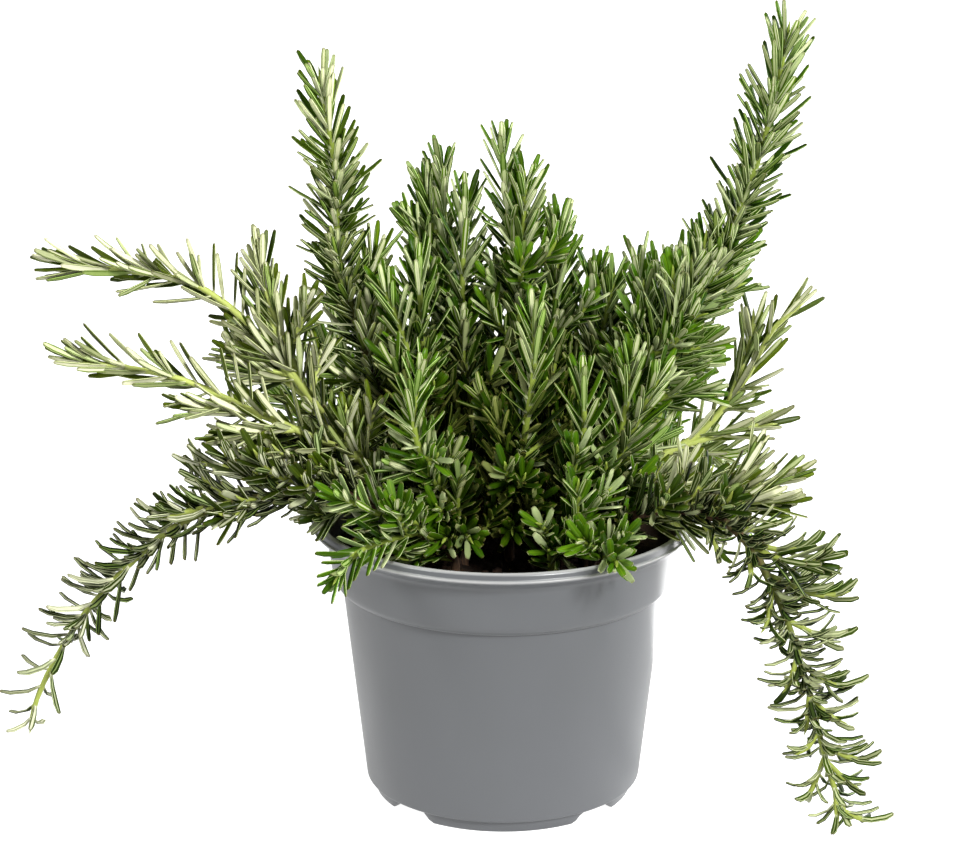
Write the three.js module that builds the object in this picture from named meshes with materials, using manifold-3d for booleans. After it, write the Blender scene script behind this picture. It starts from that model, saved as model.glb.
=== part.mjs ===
// Potted rosemary in a 13 cm grower's pot. Millimetres, +Z up.
// The origin is on the pot's axis, at the level that the pot stands on; +Y is the back.

import * as THREE from 'three';
import { mergeVertices } from 'three/addons/utils/BufferGeometryUtils.js';
import Module from 'manifold-3d';

const wasm = await Module();
wasm.setup();

// Pot
const RIM_RADIUS = 65;
const POT_HEIGHT = 98;
const WALL = 1.2;
const BODY_FOOT_RADIUS = 46.9;
const BODY_TOP_RADIUS = 54.6;
const BODY_FOOT_Z = 4.6;
const BODY_TOP_Z = 74;
const BAND_RADIUS = 59.6;
const BAND_FOOT_RADIUS = 57.9;
const BAND_FOOT_Z = 79.5;
const LIP_Z = 94.8;
const RIM_INNER_RADIUS = 61.7;
const FOOT_RADIUS = 43.9;
const FOOT_RING = 1.6;
const FLOOR_Z = 4.8;
const FLOOR = 1.4;
const PAD_RADIUS = 12;
const POT_SIDES = 34;
const NOTCH_WIDE = 25;
const NOTCH_NARROW = 13;
const NOTCH_HEIGHT = 4.2;
const DRAIN_RADIUS = 3.5;
const DRAIN_RING = 31;
const DRAIN_HOLES = 6;

// Soil
const SOIL_Z = 85;
const SOIL_LUMP = 1.6;
const SOIL_RINGS = [57, 46, 33, 18];
const SOIL_SIDES = 26;
const SEAT = 0.3;
const HOLE_FLOOR_Z = 68;
const HOLE_DEPTH = 30;
const HOLE_SIDES = 4;

// Leafy stems
const STEM_FOOT_Z = HOLE_FLOOR_Z + SEAT;
const STEM_SIDES = 4;
const STEM_STEP = 27;
const STEM_TIP_RADIUS = 0.85;
const STEM_TAPER = 0.8;
const SIDE_RADIUS = 0.75;
const SIDE_BEND = 0.3;
const SIDE_MIDDLE = 0.45;
const SIDE_BARE = 4;
const SIDE_PLAIN = 26;
const TWIG_GAPS = [6.7, 11.3];
const TWIG_LENGTHS = [16, 34];
const TWIG_LEANS = [38, 62];
const TWIG_TURN = 137.5;
const TWIG_RISE = 0.7;
const TWIG_HANG = -0.45;
const TWIG_TRIES = 4;
const TWIG_ROOM = 0.8;
const TWIG_SIDES = 3;

// Needles
const LEAF_HALF_WIDTH = 1.1;
const LEAF_DEPTH = 1.1;
const LEAF_WIDEST = 0.42;
const LEAF_WIDE = LEAF_HALF_WIDTH / Math.cos(Math.PI / 6);
const LEAF_DEEP = LEAF_DEPTH / 1.5;
const LEAF_SIZES = [0.84, 1.14];
const LEAF_STRIDE = 60;
const TIP_REACH = 0.75;
const TIP_SIZE = 0.78;
const GROWN_AT = 14;
const OPEN_AT = 42;
const PAIR_TURN = 50;
const PAIR_GAPS = [0.8, 1.2];
const TUFT_AT = 22;
const TUFT_LEAVES = 3;
const TUFT_TURN = 48;
const TUFT_OPEN = [18, 62];
const TUFT_SIZES = [0.5, 0.8];
const TUFT_UP = 1.5;
const CLEARANCE = 0.35;
const WOOD_STRETCH = 8;

const GREY = { color: '#808283', roughness: 0.38, metalness: 0 };
const PEAT = { color: '#2b2018', roughness: 0.95, metalness: 0 };
const LEAF_GREENS = {
  tall: '#4c7a2a',
  crown: '#3f6a24',
  arch: '#6f9440',
  pale: '#84a050',
  trail: '#56803a',
  curl: '#4f7634',
  front: '#4f8428',
  back: '#38602a',
};

// How each kind of shoot grows, in mm and degrees. leaf: length of a full needle. gap: distance between two
// pairs, times tipGap at the tip, over tipZone. open: a needle's angle from the stem, tip that at the tip,
// and vary how far it varies. rise: how it turns up towards its end, and spread outwards. tuft: the share
// of pairs with a young tuft in an axil. bare: the length without needles at the foot. plain: the length
// without twigs at the tip.
const HABITS = {
  tall: { leaf: 18, gap: 1.7, tipGap: 0.85, tipZone: 12, open: 54, tip: 26, vary: 28, rise: 0.25,
    spread: 0.05, tuft: 0.8, bare: 14, plain: 92 },
  crown: { leaf: 17, gap: 2.3, tipGap: 0.6, tipZone: 10, open: 46, tip: 20, vary: 24, rise: 0.2,
    spread: 0.1, tuft: 0.4, bare: 10, plain: 34 },
  arch: { leaf: 19.5, gap: 3.7, tipGap: 0.4, tipZone: 18, open: 44, tip: 12, vary: 40, rise: 0.25,
    spread: 0.05, tuft: 0.3, bare: 16, plain: 78 },
  pale: { leaf: 19.5, gap: 5.4, tipGap: 0.7, tipZone: 18, open: 38, tip: 14, vary: 30, rise: 0.15,
    spread: 0.05, tuft: 0.1, bare: 16, plain: 74 },
  trail: { leaf: 17.5, gap: 2.4, tipGap: 2.6, tipZone: 70, open: 50, tip: 24, vary: 30, rise: 0.9,
    spread: 0.15, tuft: 0.6, bare: 18, plain: 95 },
  curl: { leaf: 15.5, gap: 2.4, tipGap: 1.3, tipZone: 30, open: 60, tip: 28, vary: 36, rise: 1,
    spread: 0.2, tuft: 0.8, bare: 18, plain: 84 },
  front: { leaf: 14.5, gap: 2.2, tipGap: 0.6, tipZone: 8, open: 50, tip: 22, vary: 24, rise: 0.15,
    spread: 0.2, tuft: 0.3, bare: 8, plain: 26 },
  back: { leaf: 16.5, gap: 3, tipGap: 0.5, tipZone: 10, open: 50, tip: 20, vary: 24, rise: 0.35,
    spread: 0.1, tuft: 0.3, bare: 14, plain: 30 },
  twig: { leaf: 14.5, gap: 2.3, tipGap: 0.6, tipZone: 8, open: 48, tip: 24, vary: 24, rise: 0.15,
    spread: 0.15, tuft: 0, bare: 4 },
};

// Each rooted stem: foot is its place in the soil, route goes from just above the soil to the tip, and a
// side shoot leaves it at a share of its length and ends at a tip.
const STEMS = [
  {
    name: 'stem_tall_left', habit: 'tall', foot: [-25, 8], radius: 2,
    route: [[-35, 10, 117], [-48, 9, 157], [-55, 6, 186], [-55, 3, 212], [-61, 0, 256]],
    sides: [[0.3, -44, 22, 172], [0.42, -39, 2, 180], [0.46, -38, 18, 192]],
  },
  {
    name: 'stem_upper_left', habit: 'arch', foot: [-35, -2], radius: 1.9,
    route: [[-48, -6, 115], [-66, -8, 143], [-79, -8, 160], [-94, -4, 173], [-111, -2, 180],
      [-156, 0, 185]],
    sides: [[0.44, -81, -2, 198], [0.42, -97, 4, 154], [0.5, -77, 0, 188], [0.46, -90, -14, 168]],
  },
  {
    name: 'stem_mid_left', habit: 'arch', foot: [-29, -12], radius: 1.9,
    route: [[-43, -22, 120], [-60, -26, 131], [-82, -26, 141], [-108, -24, 152], [-150, -20, 158]],
    sides: [[0.3, -99, -10, 126], [0.56, -112, -30, 142], [0.5, -96, -38, 130]],
  },
  {
    name: 'stem_trailing_left', habit: 'trail', foot: [-24, -23], radius: 1.9,
    route: [[-43, -34, 112], [-65, -38, 117], [-103, -36, 107], [-135, -33, 77], [-154, -31, 46],
      [-160, -30, 23]],
    sides: [[0.26, -108, -26, 124], [0.36, -120, -44, 108]],
  },
  {
    name: 'stem_front_left', habit: 'front', foot: [-16, -33], radius: 1.7,
    route: [[-30, -42, 106], [-46, -52, 117], [-56, -64, 126]],
    sides: [[0.4, -32, -62, 122], [0.5, -56, -77, 95]],
  },
  {
    name: 'stem_front_middle', habit: 'front', foot: [-13, -20], radius: 1.8,
    route: [[-21, -34, 120], [-28, -42, 136], [-28, -43, 152], [-23, -42, 168]],
    sides: [[0.3, -12, -44, 128], [0.42, -34, -30, 150], [0.24, -21, -49, 101], [0.27, -8, -50, 101]],
  },
  {
    name: 'stem_crown_back', habit: 'crown', foot: [-17, 24], radius: 1.9,
    route: [[-20, 28, 122], [-19, 30, 164], [-20, 30, 192], [-22, 28, 221]],
    sides: [[0.35, -36, 36, 176], [0.5, -8, 40, 186], [0.56, -38, 26, 200], [0.6, -31, 30, 214]],
  },
  {
    name: 'stem_crown_left', habit: 'crown', foot: [-20, -3], radius: 1.8,
    route: [[-25, 0, 123], [-27, -1, 161], [-29, -1, 196]],
    sides: [[0.4, -42, -14, 160], [0.48, -44, -8, 186], [0.22, -34, -30, 106]],
  },
  {
    name: 'stem_crown_middle', habit: 'crown', foot: [-9, 12], radius: 1.8,
    route: [[-12, 17, 132], [-14, 19, 170], [-12, 20, 211]],
    sides: [[0.4, -15, 2, 171]],
  },
  {
    name: 'stem_crown_right', habit: 'crown', foot: [1, 19], radius: 1.9,
    route: [[3, 22, 131], [5, 20, 167], [0, 16, 209], [0, 14, 230]],
    sides: [[0.52, 7, 6, 220]],
  },
  {
    name: 'stem_bright_front', habit: 'crown', foot: [2, -8], radius: 1.8,
    route: [[5, -24, 120], [8, -30, 142], [10, -32, 162], [8, -32, 185]],
    sides: [[0.3, -6, -34, 150], [0.2, 3, -45, 102], [0.26, 16, -44, 114]],
  },
  {
    name: 'stem_inner_right', habit: 'crown', foot: [12, 10], radius: 1.8,
    route: [[15, 16, 124], [17, 19, 161], [21, 20, 186]],
    sides: [[0.45, 19, 36, 197], [0.35, 18, 4, 160], [0.5, 19, 16, 203]],
  },
  {
    name: 'stem_slim_right', habit: 'crown', foot: [22, 14], radius: 1.6,
    route: [[28, 18, 122], [30, 18, 152], [31, 16, 186]],
    sides: [[0.45, 38, 8, 185]],
  },
  {
    name: 'stem_front_right', habit: 'crown', foot: [17, -15], radius: 1.7,
    route: [[23, -28, 118], [26, -34, 137], [25, -35, 164]],
    sides: [[0.35, 24, -48, 140], [0.22, 12, -37, 103], [0.26, 32, -40, 108]],
  },
  {
    name: 'stem_right_cluster', habit: 'crown', foot: [32, 7], radius: 1.8,
    route: [[42, 10, 120], [49, 12, 154], [53, 12, 188]],
    sides: [[0.45, 62, 18, 190], [0.5, 46, 2, 184], [0.35, 45, 25, 188]],
  },
  {
    name: 'stem_right_low', habit: 'crown', foot: [27, -5], radius: 1.7,
    route: [[34, -13, 112], [40, -17, 138], [43, -18, 164]],
    sides: [[0.4, 55, -20, 160], [0.24, 43, -32, 107]],
  },
  {
    name: 'stem_tall_right', habit: 'tall', foot: [22, 2], radius: 2.2,
    route: [[34, -2, 125], [50, -4, 156], [64, -4, 176], [74, -3, 195], [82, -2, 217], [88, 0, 241],
      [93, 0, 271]],
    sides: [[0.34, 76, 4, 150], [0.42, 71, -20, 174], [0.3, 76, -12, 142], [0.46, 62, -8, 196],
      [0.49, 83, -8, 198], [0.44, 86, -3, 181], [0.36, 78, -6, 160], [0.5, 66, -6, 204]],
  },
  {
    name: 'stem_pale_right', habit: 'pale', foot: [38, 16], radius: 1.8,
    route: [[51, 26, 107], [68, 30, 117], [83, 30, 136], [92, 24, 156], [106, 16, 171]],
    sides: [[0.42, 101, 26, 122], [0.6, 84, 22, 170]],
  },
  {
    name: 'stem_low_right', habit: 'arch', foot: [36, -14], radius: 1.8,
    route: [[47, -28, 105], [61, -36, 112], [75, -38, 120], [84, -38, 140]],
    sides: [[0.5, 102, -36, 125], [0.46, 95, -38, 111], [0.56, 98, -46, 117]],
  },
  {
    name: 'stem_trailing_right', habit: 'curl', foot: [28, -24], radius: 1.9,
    route: [[42, -35, 108], [60, -44, 113], [75, -50, 108], [86, -54, 92], [94, -57, 72], [100, -58, 52],
      [105, -59, 33], [110, -60, 18], [117, -60, 5]],
    sides: [[0.36, 68, -56, 93], [0.46, 104, -46, 105], [0.46, 76, -60, 87], [0.52, 117, -50, 89],
      [0.54, 79, -64, 74], [0.6, 115, -52, 75], [0.66, 86, -64, 54], [0.68, 118, -54, 57],
      [0.74, 117, -60, 45], [0.73, 95, -66, 39], [0.8, 89, -61, 34], [0.82, 126, -56, 34],
      [0.84, 92, -66, 17], [0.85, 121, -63, 23], [0.9, 108, -66, 5], [0.94, 127, -57, 11]],
  },
  {
    name: 'stem_front_fans', habit: 'front', foot: [16, -31], radius: 1.7,
    route: [[22, -38, 104], [24, -45, 117], [24, -49, 130]],
    sides: [[0.4, 38, -46, 125], [0.35, 8, -50, 112], [0.3, 29, -56, 107], [0.26, 14, -53, 102]],
  },
  {
    name: 'stem_rim_right', habit: 'front', foot: [29, -36], radius: 1.6,
    route: [[32, -45, 100], [26, -58, 107], [21, -66, 112]],
    sides: [[0.4, 45, -57, 111], [0.45, 36, -74, 102]],
  },
  {
    name: 'stem_back_left_low', habit: 'back', foot: [-38, 14], radius: 1.8,
    route: [[-50, 26, 110], [-62, 42, 122], [-74, 58, 127], [-86, 72, 120]],
    sides: [[0.4, -88, 40, 130], [0.5, -68, 74, 112]],
  },
  {
    name: 'stem_back_left', habit: 'back', foot: [-32, 24], radius: 1.8,
    route: [[-44, 38, 118], [-56, 56, 138], [-62, 72, 158]],
    sides: [[0.4, -70, 44, 152], [0.4, -44, 66, 140]],
  },
  {
    name: 'stem_back_fan_left', habit: 'back', foot: [-26, 38], radius: 1.7,
    route: [[-32, 52, 106], [-40, 74, 116], [-42, 96, 122]],
    sides: [[0.4, -58, 84, 110], [0.4, -22, 86, 118]],
  },
  {
    name: 'stem_back_upright', habit: 'back', foot: [-8, 34], radius: 1.8,
    route: [[-6, 46, 122], [-4, 54, 150], [-2, 58, 178]],
    sides: [[0.4, -22, 56, 154], [0.45, 12, 60, 158]],
  },
  {
    name: 'stem_back_middle', habit: 'trail', foot: [0, 46], radius: 1.8,
    route: [[2, 62, 110], [6, 82, 110], [8, 98, 88], [8, 106, 62]],
    sides: [[0.35, -12, 88, 112], [0.5, 26, 94, 94]],
  },
  {
    name: 'stem_back_right_upright', habit: 'back', foot: [14, 32], radius: 1.8,
    route: [[22, 42, 118], [30, 52, 146], [34, 58, 176]],
    sides: [[0.4, 44, 46, 158], [0.4, 20, 64, 146]],
  },
  {
    name: 'stem_back_fan_right', habit: 'back', foot: [24, 40], radius: 1.7,
    route: [[30, 54, 106], [40, 72, 118], [46, 88, 130]],
    sides: [[0.4, 60, 70, 116], [0.4, 26, 84, 112]],
  },
  {
    name: 'stem_back_right', habit: 'back', foot: [34, 29], radius: 1.8,
    route: [[46, 40, 112], [58, 48, 136], [64, 54, 160]],
    sides: [[0.4, 72, 56, 130]],
  },
  {
    name: 'stem_back_right_low', habit: 'trail', foot: [44, 22], radius: 1.7,
    route: [[58, 34, 106], [72, 46, 106], [84, 56, 86], [90, 62, 60]],
    sides: [[0.4, 90, 38, 104], [0.5, 70, 66, 92]],
  },
];

const Z = new THREE.Vector3(0, 0, 1);

function mix(low, high, share) {
  return low + (high - low) * share;
}

function smooth(share) {
  const t = Math.min(Math.max(share, 0), 1);
  return t * t * (3 - 2 * t);
}

// A repeatable row of numbers from 0 to 1.
function seeded(seed) {
  let state = seed;
  return () => {
    state = (state + 0x6d2b79f5) | 0;
    let bits = Math.imul(state ^ (state >>> 15), 1 | state);
    bits = (bits + Math.imul(bits ^ (bits >>> 7), 61 | bits)) ^ bits;
    return ((bits ^ (bits >>> 14)) >>> 0) / 4294967296;
  };
}

// Solids

function solidOf(geometry) {
  const bare = geometry.clone();
  bare.deleteAttribute('normal');
  bare.deleteAttribute('uv');
  const merged = mergeVertices(bare, 1e-5);
  const corners = Array.from(merged.index.array);
  const real = (_, i) => new Set(corners.slice(i - (i % 3), i - (i % 3) + 3)).size === 3;
  return new wasm.Manifold(new wasm.Mesh({
    numProp: 3,
    vertProperties: Float32Array.from(merged.attributes.position.array),
    triVerts: Uint32Array.from(corners.filter(real)),
  }));
}

// The triangles of the largest closed shell, so that a hollow sealed by fusing is filled.
function outerShell(triangles, corners) {
  const leader = Array.from({ length: corners.length / 3 }, (_, i) => i);
  const find = (i) => {
    let top = i;
    while (leader[top] !== top) {
      leader[top] = leader[leader[top]];
      top = leader[top];
    }
    return top;
  };
  for (let i = 0; i < triangles.length; i += 3) {
    leader[find(triangles[i])] = find(triangles[i + 1]);
    leader[find(triangles[i + 1])] = find(triangles[i + 2]);
  }
  const counts = new Map();
  for (let i = 0; i < triangles.length; i += 3) {
    const shell = find(triangles[i]);
    counts.set(shell, (counts.get(shell) ?? 0) + 1);
  }
  const largest = [...counts.entries()].reduce((a, b) => (b[1] > a[1] ? b : a))[0];
  const kept = [];
  for (let i = 0; i < triangles.length; i += 3) {
    if (find(triangles[i]) === largest) {
      kept.push(triangles[i], triangles[i + 1], triangles[i + 2]);
    }
  }
  return kept;
}

function geometryOf(solid) {
  const mesh = solid.getMesh();
  const corners = Float32Array.from(mesh.vertProperties);
  const geometry = new THREE.BufferGeometry();
  geometry.setAttribute('position', new THREE.BufferAttribute(corners, 3));
  geometry.setIndex(outerShell(Array.from(mesh.triVerts), corners));
  geometry.computeVertexNormals();
  return geometry;
}

function named(name, geometry, finish) {
  const mesh = new THREE.Mesh(geometry, new THREE.MeshStandardMaterial(finish));
  mesh.name = name;
  return mesh;
}

// A lathe of [radius, height] points around +Z, closed on the axis.
function turned(profile, sides) {
  const points = profile.map(([radius, height]) => new THREE.Vector2(radius, height));
  const lathe = new THREE.LatheGeometry(points, sides);
  lathe.rotateX(Math.PI / 2);
  return lathe;
}

// An upright prism with a flat foot at z.
function upright(radius, height, sides, x, y, z) {
  const prism = new THREE.CylinderGeometry(radius, radius, height, sides);
  prism.rotateX(Math.PI / 2);
  prism.translate(x, y, z + height / 2);
  return prism;
}

// Pot

function bodyRadius(z) {
  return mix(BODY_FOOT_RADIUS, BODY_TOP_RADIUS, (z - BODY_FOOT_Z) / (BODY_TOP_Z - BODY_FOOT_Z));
}

function potProfile() {
  const foot = [
    [0, 0], [PAD_RADIUS, 0], [PAD_RADIUS + 0.6, FLOOR_Z],
    [FOOT_RADIUS - FOOT_RING, FLOOR_Z], [FOOT_RADIUS - FOOT_RING, 0],
    [FOOT_RADIUS, 0], [FOOT_RADIUS + 1.2, BODY_FOOT_Z - 0.3],
  ];
  const outside = [
    [BODY_FOOT_RADIUS, BODY_FOOT_Z], [BODY_TOP_RADIUS, BODY_TOP_Z], [BODY_TOP_RADIUS + 0.7, BODY_TOP_Z + 0.4],
    [BAND_FOOT_RADIUS - 1, BODY_TOP_Z + 2.4], [BAND_FOOT_RADIUS, BAND_FOOT_Z], [BAND_RADIUS, LIP_Z],
  ];
  const rim = [
    [RIM_RADIUS, LIP_Z], [RIM_RADIUS, LIP_Z + 0.8], [RIM_RADIUS - 2.4, POT_HEIGHT],
    [RIM_INNER_RADIUS, POT_HEIGHT],
  ];
  const inside = [
    [BAND_RADIUS - WALL, LIP_Z - 1.4], [BAND_FOOT_RADIUS - WALL, BAND_FOOT_Z - 0.4],
    [BODY_TOP_RADIUS - WALL, BODY_TOP_Z - 0.6], [bodyRadius(FLOOR_Z + FLOOR) - WALL, FLOOR_Z + FLOOR],
    [0, FLOOR_Z + FLOOR],
  ];
  return [...foot, ...outside, ...rim, ...inside];
}

// A wedge that is wide at the foot and narrow above, cut through the foot ring at an angle.
function notch(angle) {
  const low = (FOOT_RADIUS * Math.sin((NOTCH_WIDE * Math.PI) / 360));
  const high = (FOOT_RADIUS * Math.sin((NOTCH_NARROW * Math.PI) / 360));
  const shape = new THREE.Shape([
    new THREE.Vector2(-low, -1), new THREE.Vector2(low, -1),
    new THREE.Vector2(high, NOTCH_HEIGHT), new THREE.Vector2(-high, NOTCH_HEIGHT),
  ]);
  const wedge = new THREE.ExtrudeGeometry(shape, { depth: 16, bevelEnabled: false });
  wedge.rotateX(Math.PI / 2);
  wedge.translate(0, FOOT_RADIUS + 8, 0);
  wedge.rotateZ(angle);
  return wedge;
}

function makePot() {
  let pot = solidOf(turned(potProfile(), POT_SIDES));
  for (let i = 0; i < 4; i += 1) {
    pot = pot.subtract(solidOf(notch((i + 0.5) * (Math.PI / 2))));
  }
  for (let i = 0; i < DRAIN_HOLES; i += 1) {
    const angle = (i * 2 * Math.PI) / DRAIN_HOLES;
    const [x, y] = [DRAIN_RING * Math.cos(angle), DRAIN_RING * Math.sin(angle)];
    pot = pot.subtract(solidOf(upright(DRAIN_RADIUS, 10, 6, x, y, 0)));
  }
  return named('pot', geometryOf(pot), GREY);
}

// Soil

// The soil's top: low lumps, level at the wall.
function soilTop(x, y) {
  const lump = Math.sin(x * 0.13 + 1.1) * Math.cos(y * 0.16 - 0.4) + 0.5 * Math.sin(x * 0.31 - y * 0.27);
  return SOIL_Z + SOIL_LUMP * lump * smooth((SOIL_RINGS[0] - Math.hypot(x, y)) / 12);
}

function soilProfile() {
  const edge = SOIL_RINGS[0];
  const rings = SOIL_RINGS.slice(1).map((radius) => [radius, SOIL_Z]);
  const foot = FLOOR_Z + FLOOR + SEAT;
  return [
    [0, foot], [bodyRadius(foot) - WALL - SEAT, foot], [BODY_TOP_RADIUS - WALL - SEAT, BODY_TOP_Z - 0.6],
    [BAND_FOOT_RADIUS - WALL - SEAT - 0.1, BAND_FOOT_Z], [edge, SOIL_Z], ...rings, [0, SOIL_Z],
  ];
}

function makeSoil() {
  const block = turned(soilProfile(), SOIL_SIDES);
  const places = block.attributes.position;
  for (let i = 0; i < places.count; i += 1) {
    if (places.getZ(i) > SOIL_Z - 0.01) {
      places.setZ(i, soilTop(places.getX(i), places.getY(i)));
    }
  }
  let soil = solidOf(block);
  for (const { foot, radius } of STEMS) {
    const reach = (radius + SEAT) / Math.cos(Math.PI / HOLE_SIDES);
    soil = soil.subtract(solidOf(upright(reach, HOLE_DEPTH, HOLE_SIDES, ...foot, HOLE_FLOOR_Z)));
  }
  return named('soil', geometryOf(soil), PEAT);
}

// Shoots

// A line of straight stretches, read by the distance walked along it, with a side direction that never
// spins.
class Walk {
  constructor(points) {
    this.points = points;
    this.lengths = [0];
    for (let i = 1; i < this.points.length; i += 1) {
      this.lengths.push(this.lengths[i - 1] + this.points[i].distanceTo(this.points[i - 1]));
    }
    this.length = this.lengths[this.lengths.length - 1];
    const first = new THREE.Vector3().subVectors(this.points[1], this.points[0]).normalize();
    const helper = Math.abs(first.x) < 0.8 ? new THREE.Vector3(1, 0, 0) : new THREE.Vector3(0, 1, 0);
    let side = new THREE.Vector3().crossVectors(first, helper).normalize();
    this.sides = this.points.map((_, i) => {
      const along = this.alongAt(i);
      side = side.clone().addScaledVector(along, -side.dot(along)).normalize();
      return side;
    });
  }

  alongAt(i) {
    const last = this.points.length - 1;
    const [a, b] = [this.points[Math.max(i - 1, 0)], this.points[Math.min(i + 1, last)]];
    return new THREE.Vector3().subVectors(b, a).normalize();
  }

  at(distance) {
    const s = Math.min(Math.max(distance, 0), this.length);
    let i = 1;
    while (i < this.lengths.length - 1 && this.lengths[i] < s) {
      i += 1;
    }
    const share = (s - this.lengths[i - 1]) / (this.lengths[i] - this.lengths[i - 1]);
    return {
      point: new THREE.Vector3().lerpVectors(this.points[i - 1], this.points[i], share),
      along: this.alongAt(i - 1).lerp(this.alongAt(i), share).normalize(),
      side: new THREE.Vector3().lerpVectors(this.sides[i - 1], this.sides[i], share).normalize(),
    };
  }
}

// Points along the smooth line through places, about STEM_STEP apart.
function through(places) {
  const curve = new THREE.CatmullRomCurve3(places, false, 'catmullrom', 0.5);
  return curve.getSpacedPoints(Math.max(2, Math.round(curve.getLength() / STEM_STEP)));
}

// A shoot: its walk, where its wood ends, and its radius at a distance from the foot.
function makeShoot(points, habit, radius, bare, seed) {
  const walk = new Walk(points);
  const end = walk.length - TIP_REACH * HABITS[habit].leaf;
  return {
    walk,
    end,
    bare,
    seed,
    habit: HABITS[habit],
    radiusAt: (s) => mix(radius, STEM_TIP_RADIUS, smooth(s / end) ** STEM_TAPER),
  };
}

function mainShoot(stem, seed) {
  const [x, y] = stem.foot;
  const places = [[x, y, SOIL_Z + 3.5], [x, y, SOIL_Z + 8], ...stem.route];
  const line = through(places.map((place) => new THREE.Vector3(...place)));
  const bare = SOIL_Z - STEM_FOOT_Z + HABITS[stem.habit].bare;
  return makeShoot([new THREE.Vector3(x, y, STEM_FOOT_Z), ...line], stem.habit, stem.radius, bare, seed);
}

function sideShoot(parent, [from, x, y, z], habit, seed) {
  const start = from * parent.walk.length;
  const { point, along } = parent.walk.at(start);
  const tip = new THREE.Vector3(x, y, z);
  const reach = point.distanceTo(tip);
  const bend = point.clone().addScaledVector(along, reach * SIDE_BEND);
  const middle = new THREE.Vector3().lerpVectors(bend, tip, SIDE_MIDDLE);
  const radius = SIDE_RADIUS * parent.radiusAt(start);
  return makeShoot(through([point, middle, tip]), habit, radius, SIDE_BARE, seed);
}

// Short leafy twigs round a shoot, none of them hanging far, each where it is clear of the pot and of the
// wood of the other stems.
function twigsOf(parent, plain, seed, others) {
  const random = seeded(seed);
  const twigs = [];
  let s = parent.bare;
  let turn = 360 * random();
  while (s < parent.end - plain) {
    const { point, along, side } = parent.walk.at(s);
    const half = mix(...TWIG_LENGTHS, random()) / 2;
    const lean = THREE.MathUtils.degToRad(mix(...TWIG_LEANS, random()));
    for (let i = 0; i < TWIG_TRIES; i += 1) {
      turn += TWIG_TURN;
      const out = side.clone().applyAxisAngle(along, THREE.MathUtils.degToRad(turn));
      const first = along.clone().multiplyScalar(Math.cos(lean)).addScaledVector(out, Math.sin(lean));
      const middle = point.clone().addScaledVector(first, half);
      const last = first.clone().addScaledVector(Z, TWIG_RISE).normalize();
      const tip = middle.clone().addScaledVector(last, half);
      const radius = 0.5 * parent.radiusAt(s) + 0.2;
      const twig = makeShoot([point, middle, tip], 'twig', radius, HABITS.twig.bare, seed + Math.floor(s));
      const wood = twigStretches(twig);
      const clearOf = (mine) => others.every((other) => apart(mine, other, TWIG_ROOM));
      if (first.z > TWIG_HANG && wood.every((mine) => offThePot(mine) && clearOf(mine))) {
        twigs.push(twig);
        break;
      }
    }
    s += mix(...TWIG_GAPS, random());
  }
  return twigs;
}

// The needles of a shoot, in opposite pairs that cross, from the tip down, with young tufts in the axils.
function needlesOf({ walk, end, bare, habit, seed, radiusAt }) {
  const random = seeded(seed);
  const needles = [];
  const grow = (s, turn, open, length) => {
    const { point, along, side } = walk.at(s);
    const out = side.clone().applyAxisAngle(along, THREE.MathUtils.degToRad(turn));
    const lean = THREE.MathUtils.degToRad(open);
    const first = along.clone().multiplyScalar(Math.cos(lean)).addScaledVector(out, Math.sin(lean));
    const last = first.clone().addScaledVector(Z, habit.rise).addScaledVector(out, habit.spread).normalize();
    const across = new THREE.Vector3().crossVectors(along, out).normalize();
    const root = point.clone();
    needles.push({ root, first, last, across, length });
  };
  let turn = 45;
  let s = end;
  while (s > bare) {
    const older = end - s;
    const open = mix(habit.tip, habit.open, smooth(older / OPEN_AT));
    const size = habit.leaf * mix(TIP_SIZE, 1, smooth(older / GROWN_AT));
    for (const half of [0, 180]) {
      const around = turn + half + PAIR_TURN * (random() - 0.5);
      grow(s, around, open + habit.vary * (random() - 0.5), size * mix(...LEAF_SIZES, random()));
    }
    const tufted = older > TUFT_AT && random() < habit.tuft;
    const half = random() < 0.5 ? 0 : 180;
    const young = TUFT_LEAVES + Math.floor(TUFT_LEAVES * random());
    for (let i = 0; tufted && i < young; i += 1) {
      const around = turn + half + mix(-TUFT_TURN, TUFT_TURN, random());
      grow(s + TUFT_UP, around, mix(...TUFT_OPEN, random()), habit.leaf * mix(...TUFT_SIZES, random()));
    }
    turn += 90;
    s -= habit.gap * mix(...PAIR_GAPS, random()) * mix(habit.tipGap, 1, smooth(older / habit.tipZone));
  }
  return needles;
}

function needlePoint({ root, first, last, length }, share) {
  return root.clone()
    .addScaledVector(first, length * (share - (share * share) / 2))
    .addScaledVector(last, length * ((share * share) / 2));
}

// A closed body along a line, with a ring at each share of it and a point or a flat end. The line gives the
// place, the two directions of the ring and its two half sizes.
function bodyAlong(line, shares, sides, ends) {
  const rings = shares.map((share) => [1, share]);
  const body = turned([[0, ends[0]], ...rings, [0, ends[1]]], sides);
  const places = body.attributes.position;
  for (let i = 0; i < places.count; i += 1) {
    const { point, across, above, wide, deep } = line(places.getZ(i));
    point.addScaledVector(across, wide * places.getX(i)).addScaledVector(above, deep * places.getY(i));
    places.setXYZ(i, point.x, point.y, point.z);
  }
  return body;
}

// The wood of a shoot: square, as young rosemary is, ending in a point among the last needles.
function stemBody({ walk, end, radiusAt }) {
  const shares = [...walk.lengths.filter((s) => s < end - 2), end].map((s) => s / walk.length);
  return bodyAlong((share) => {
    const s = share * walk.length;
    const { point, along, side } = walk.at(s);
    const above = new THREE.Vector3().crossVectors(along, side).normalize();
    return { point, across: side, above, wide: radiusAt(s), deep: radiusAt(s) };
  }, shares, STEM_SIDES, [0, 1]);
}

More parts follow.
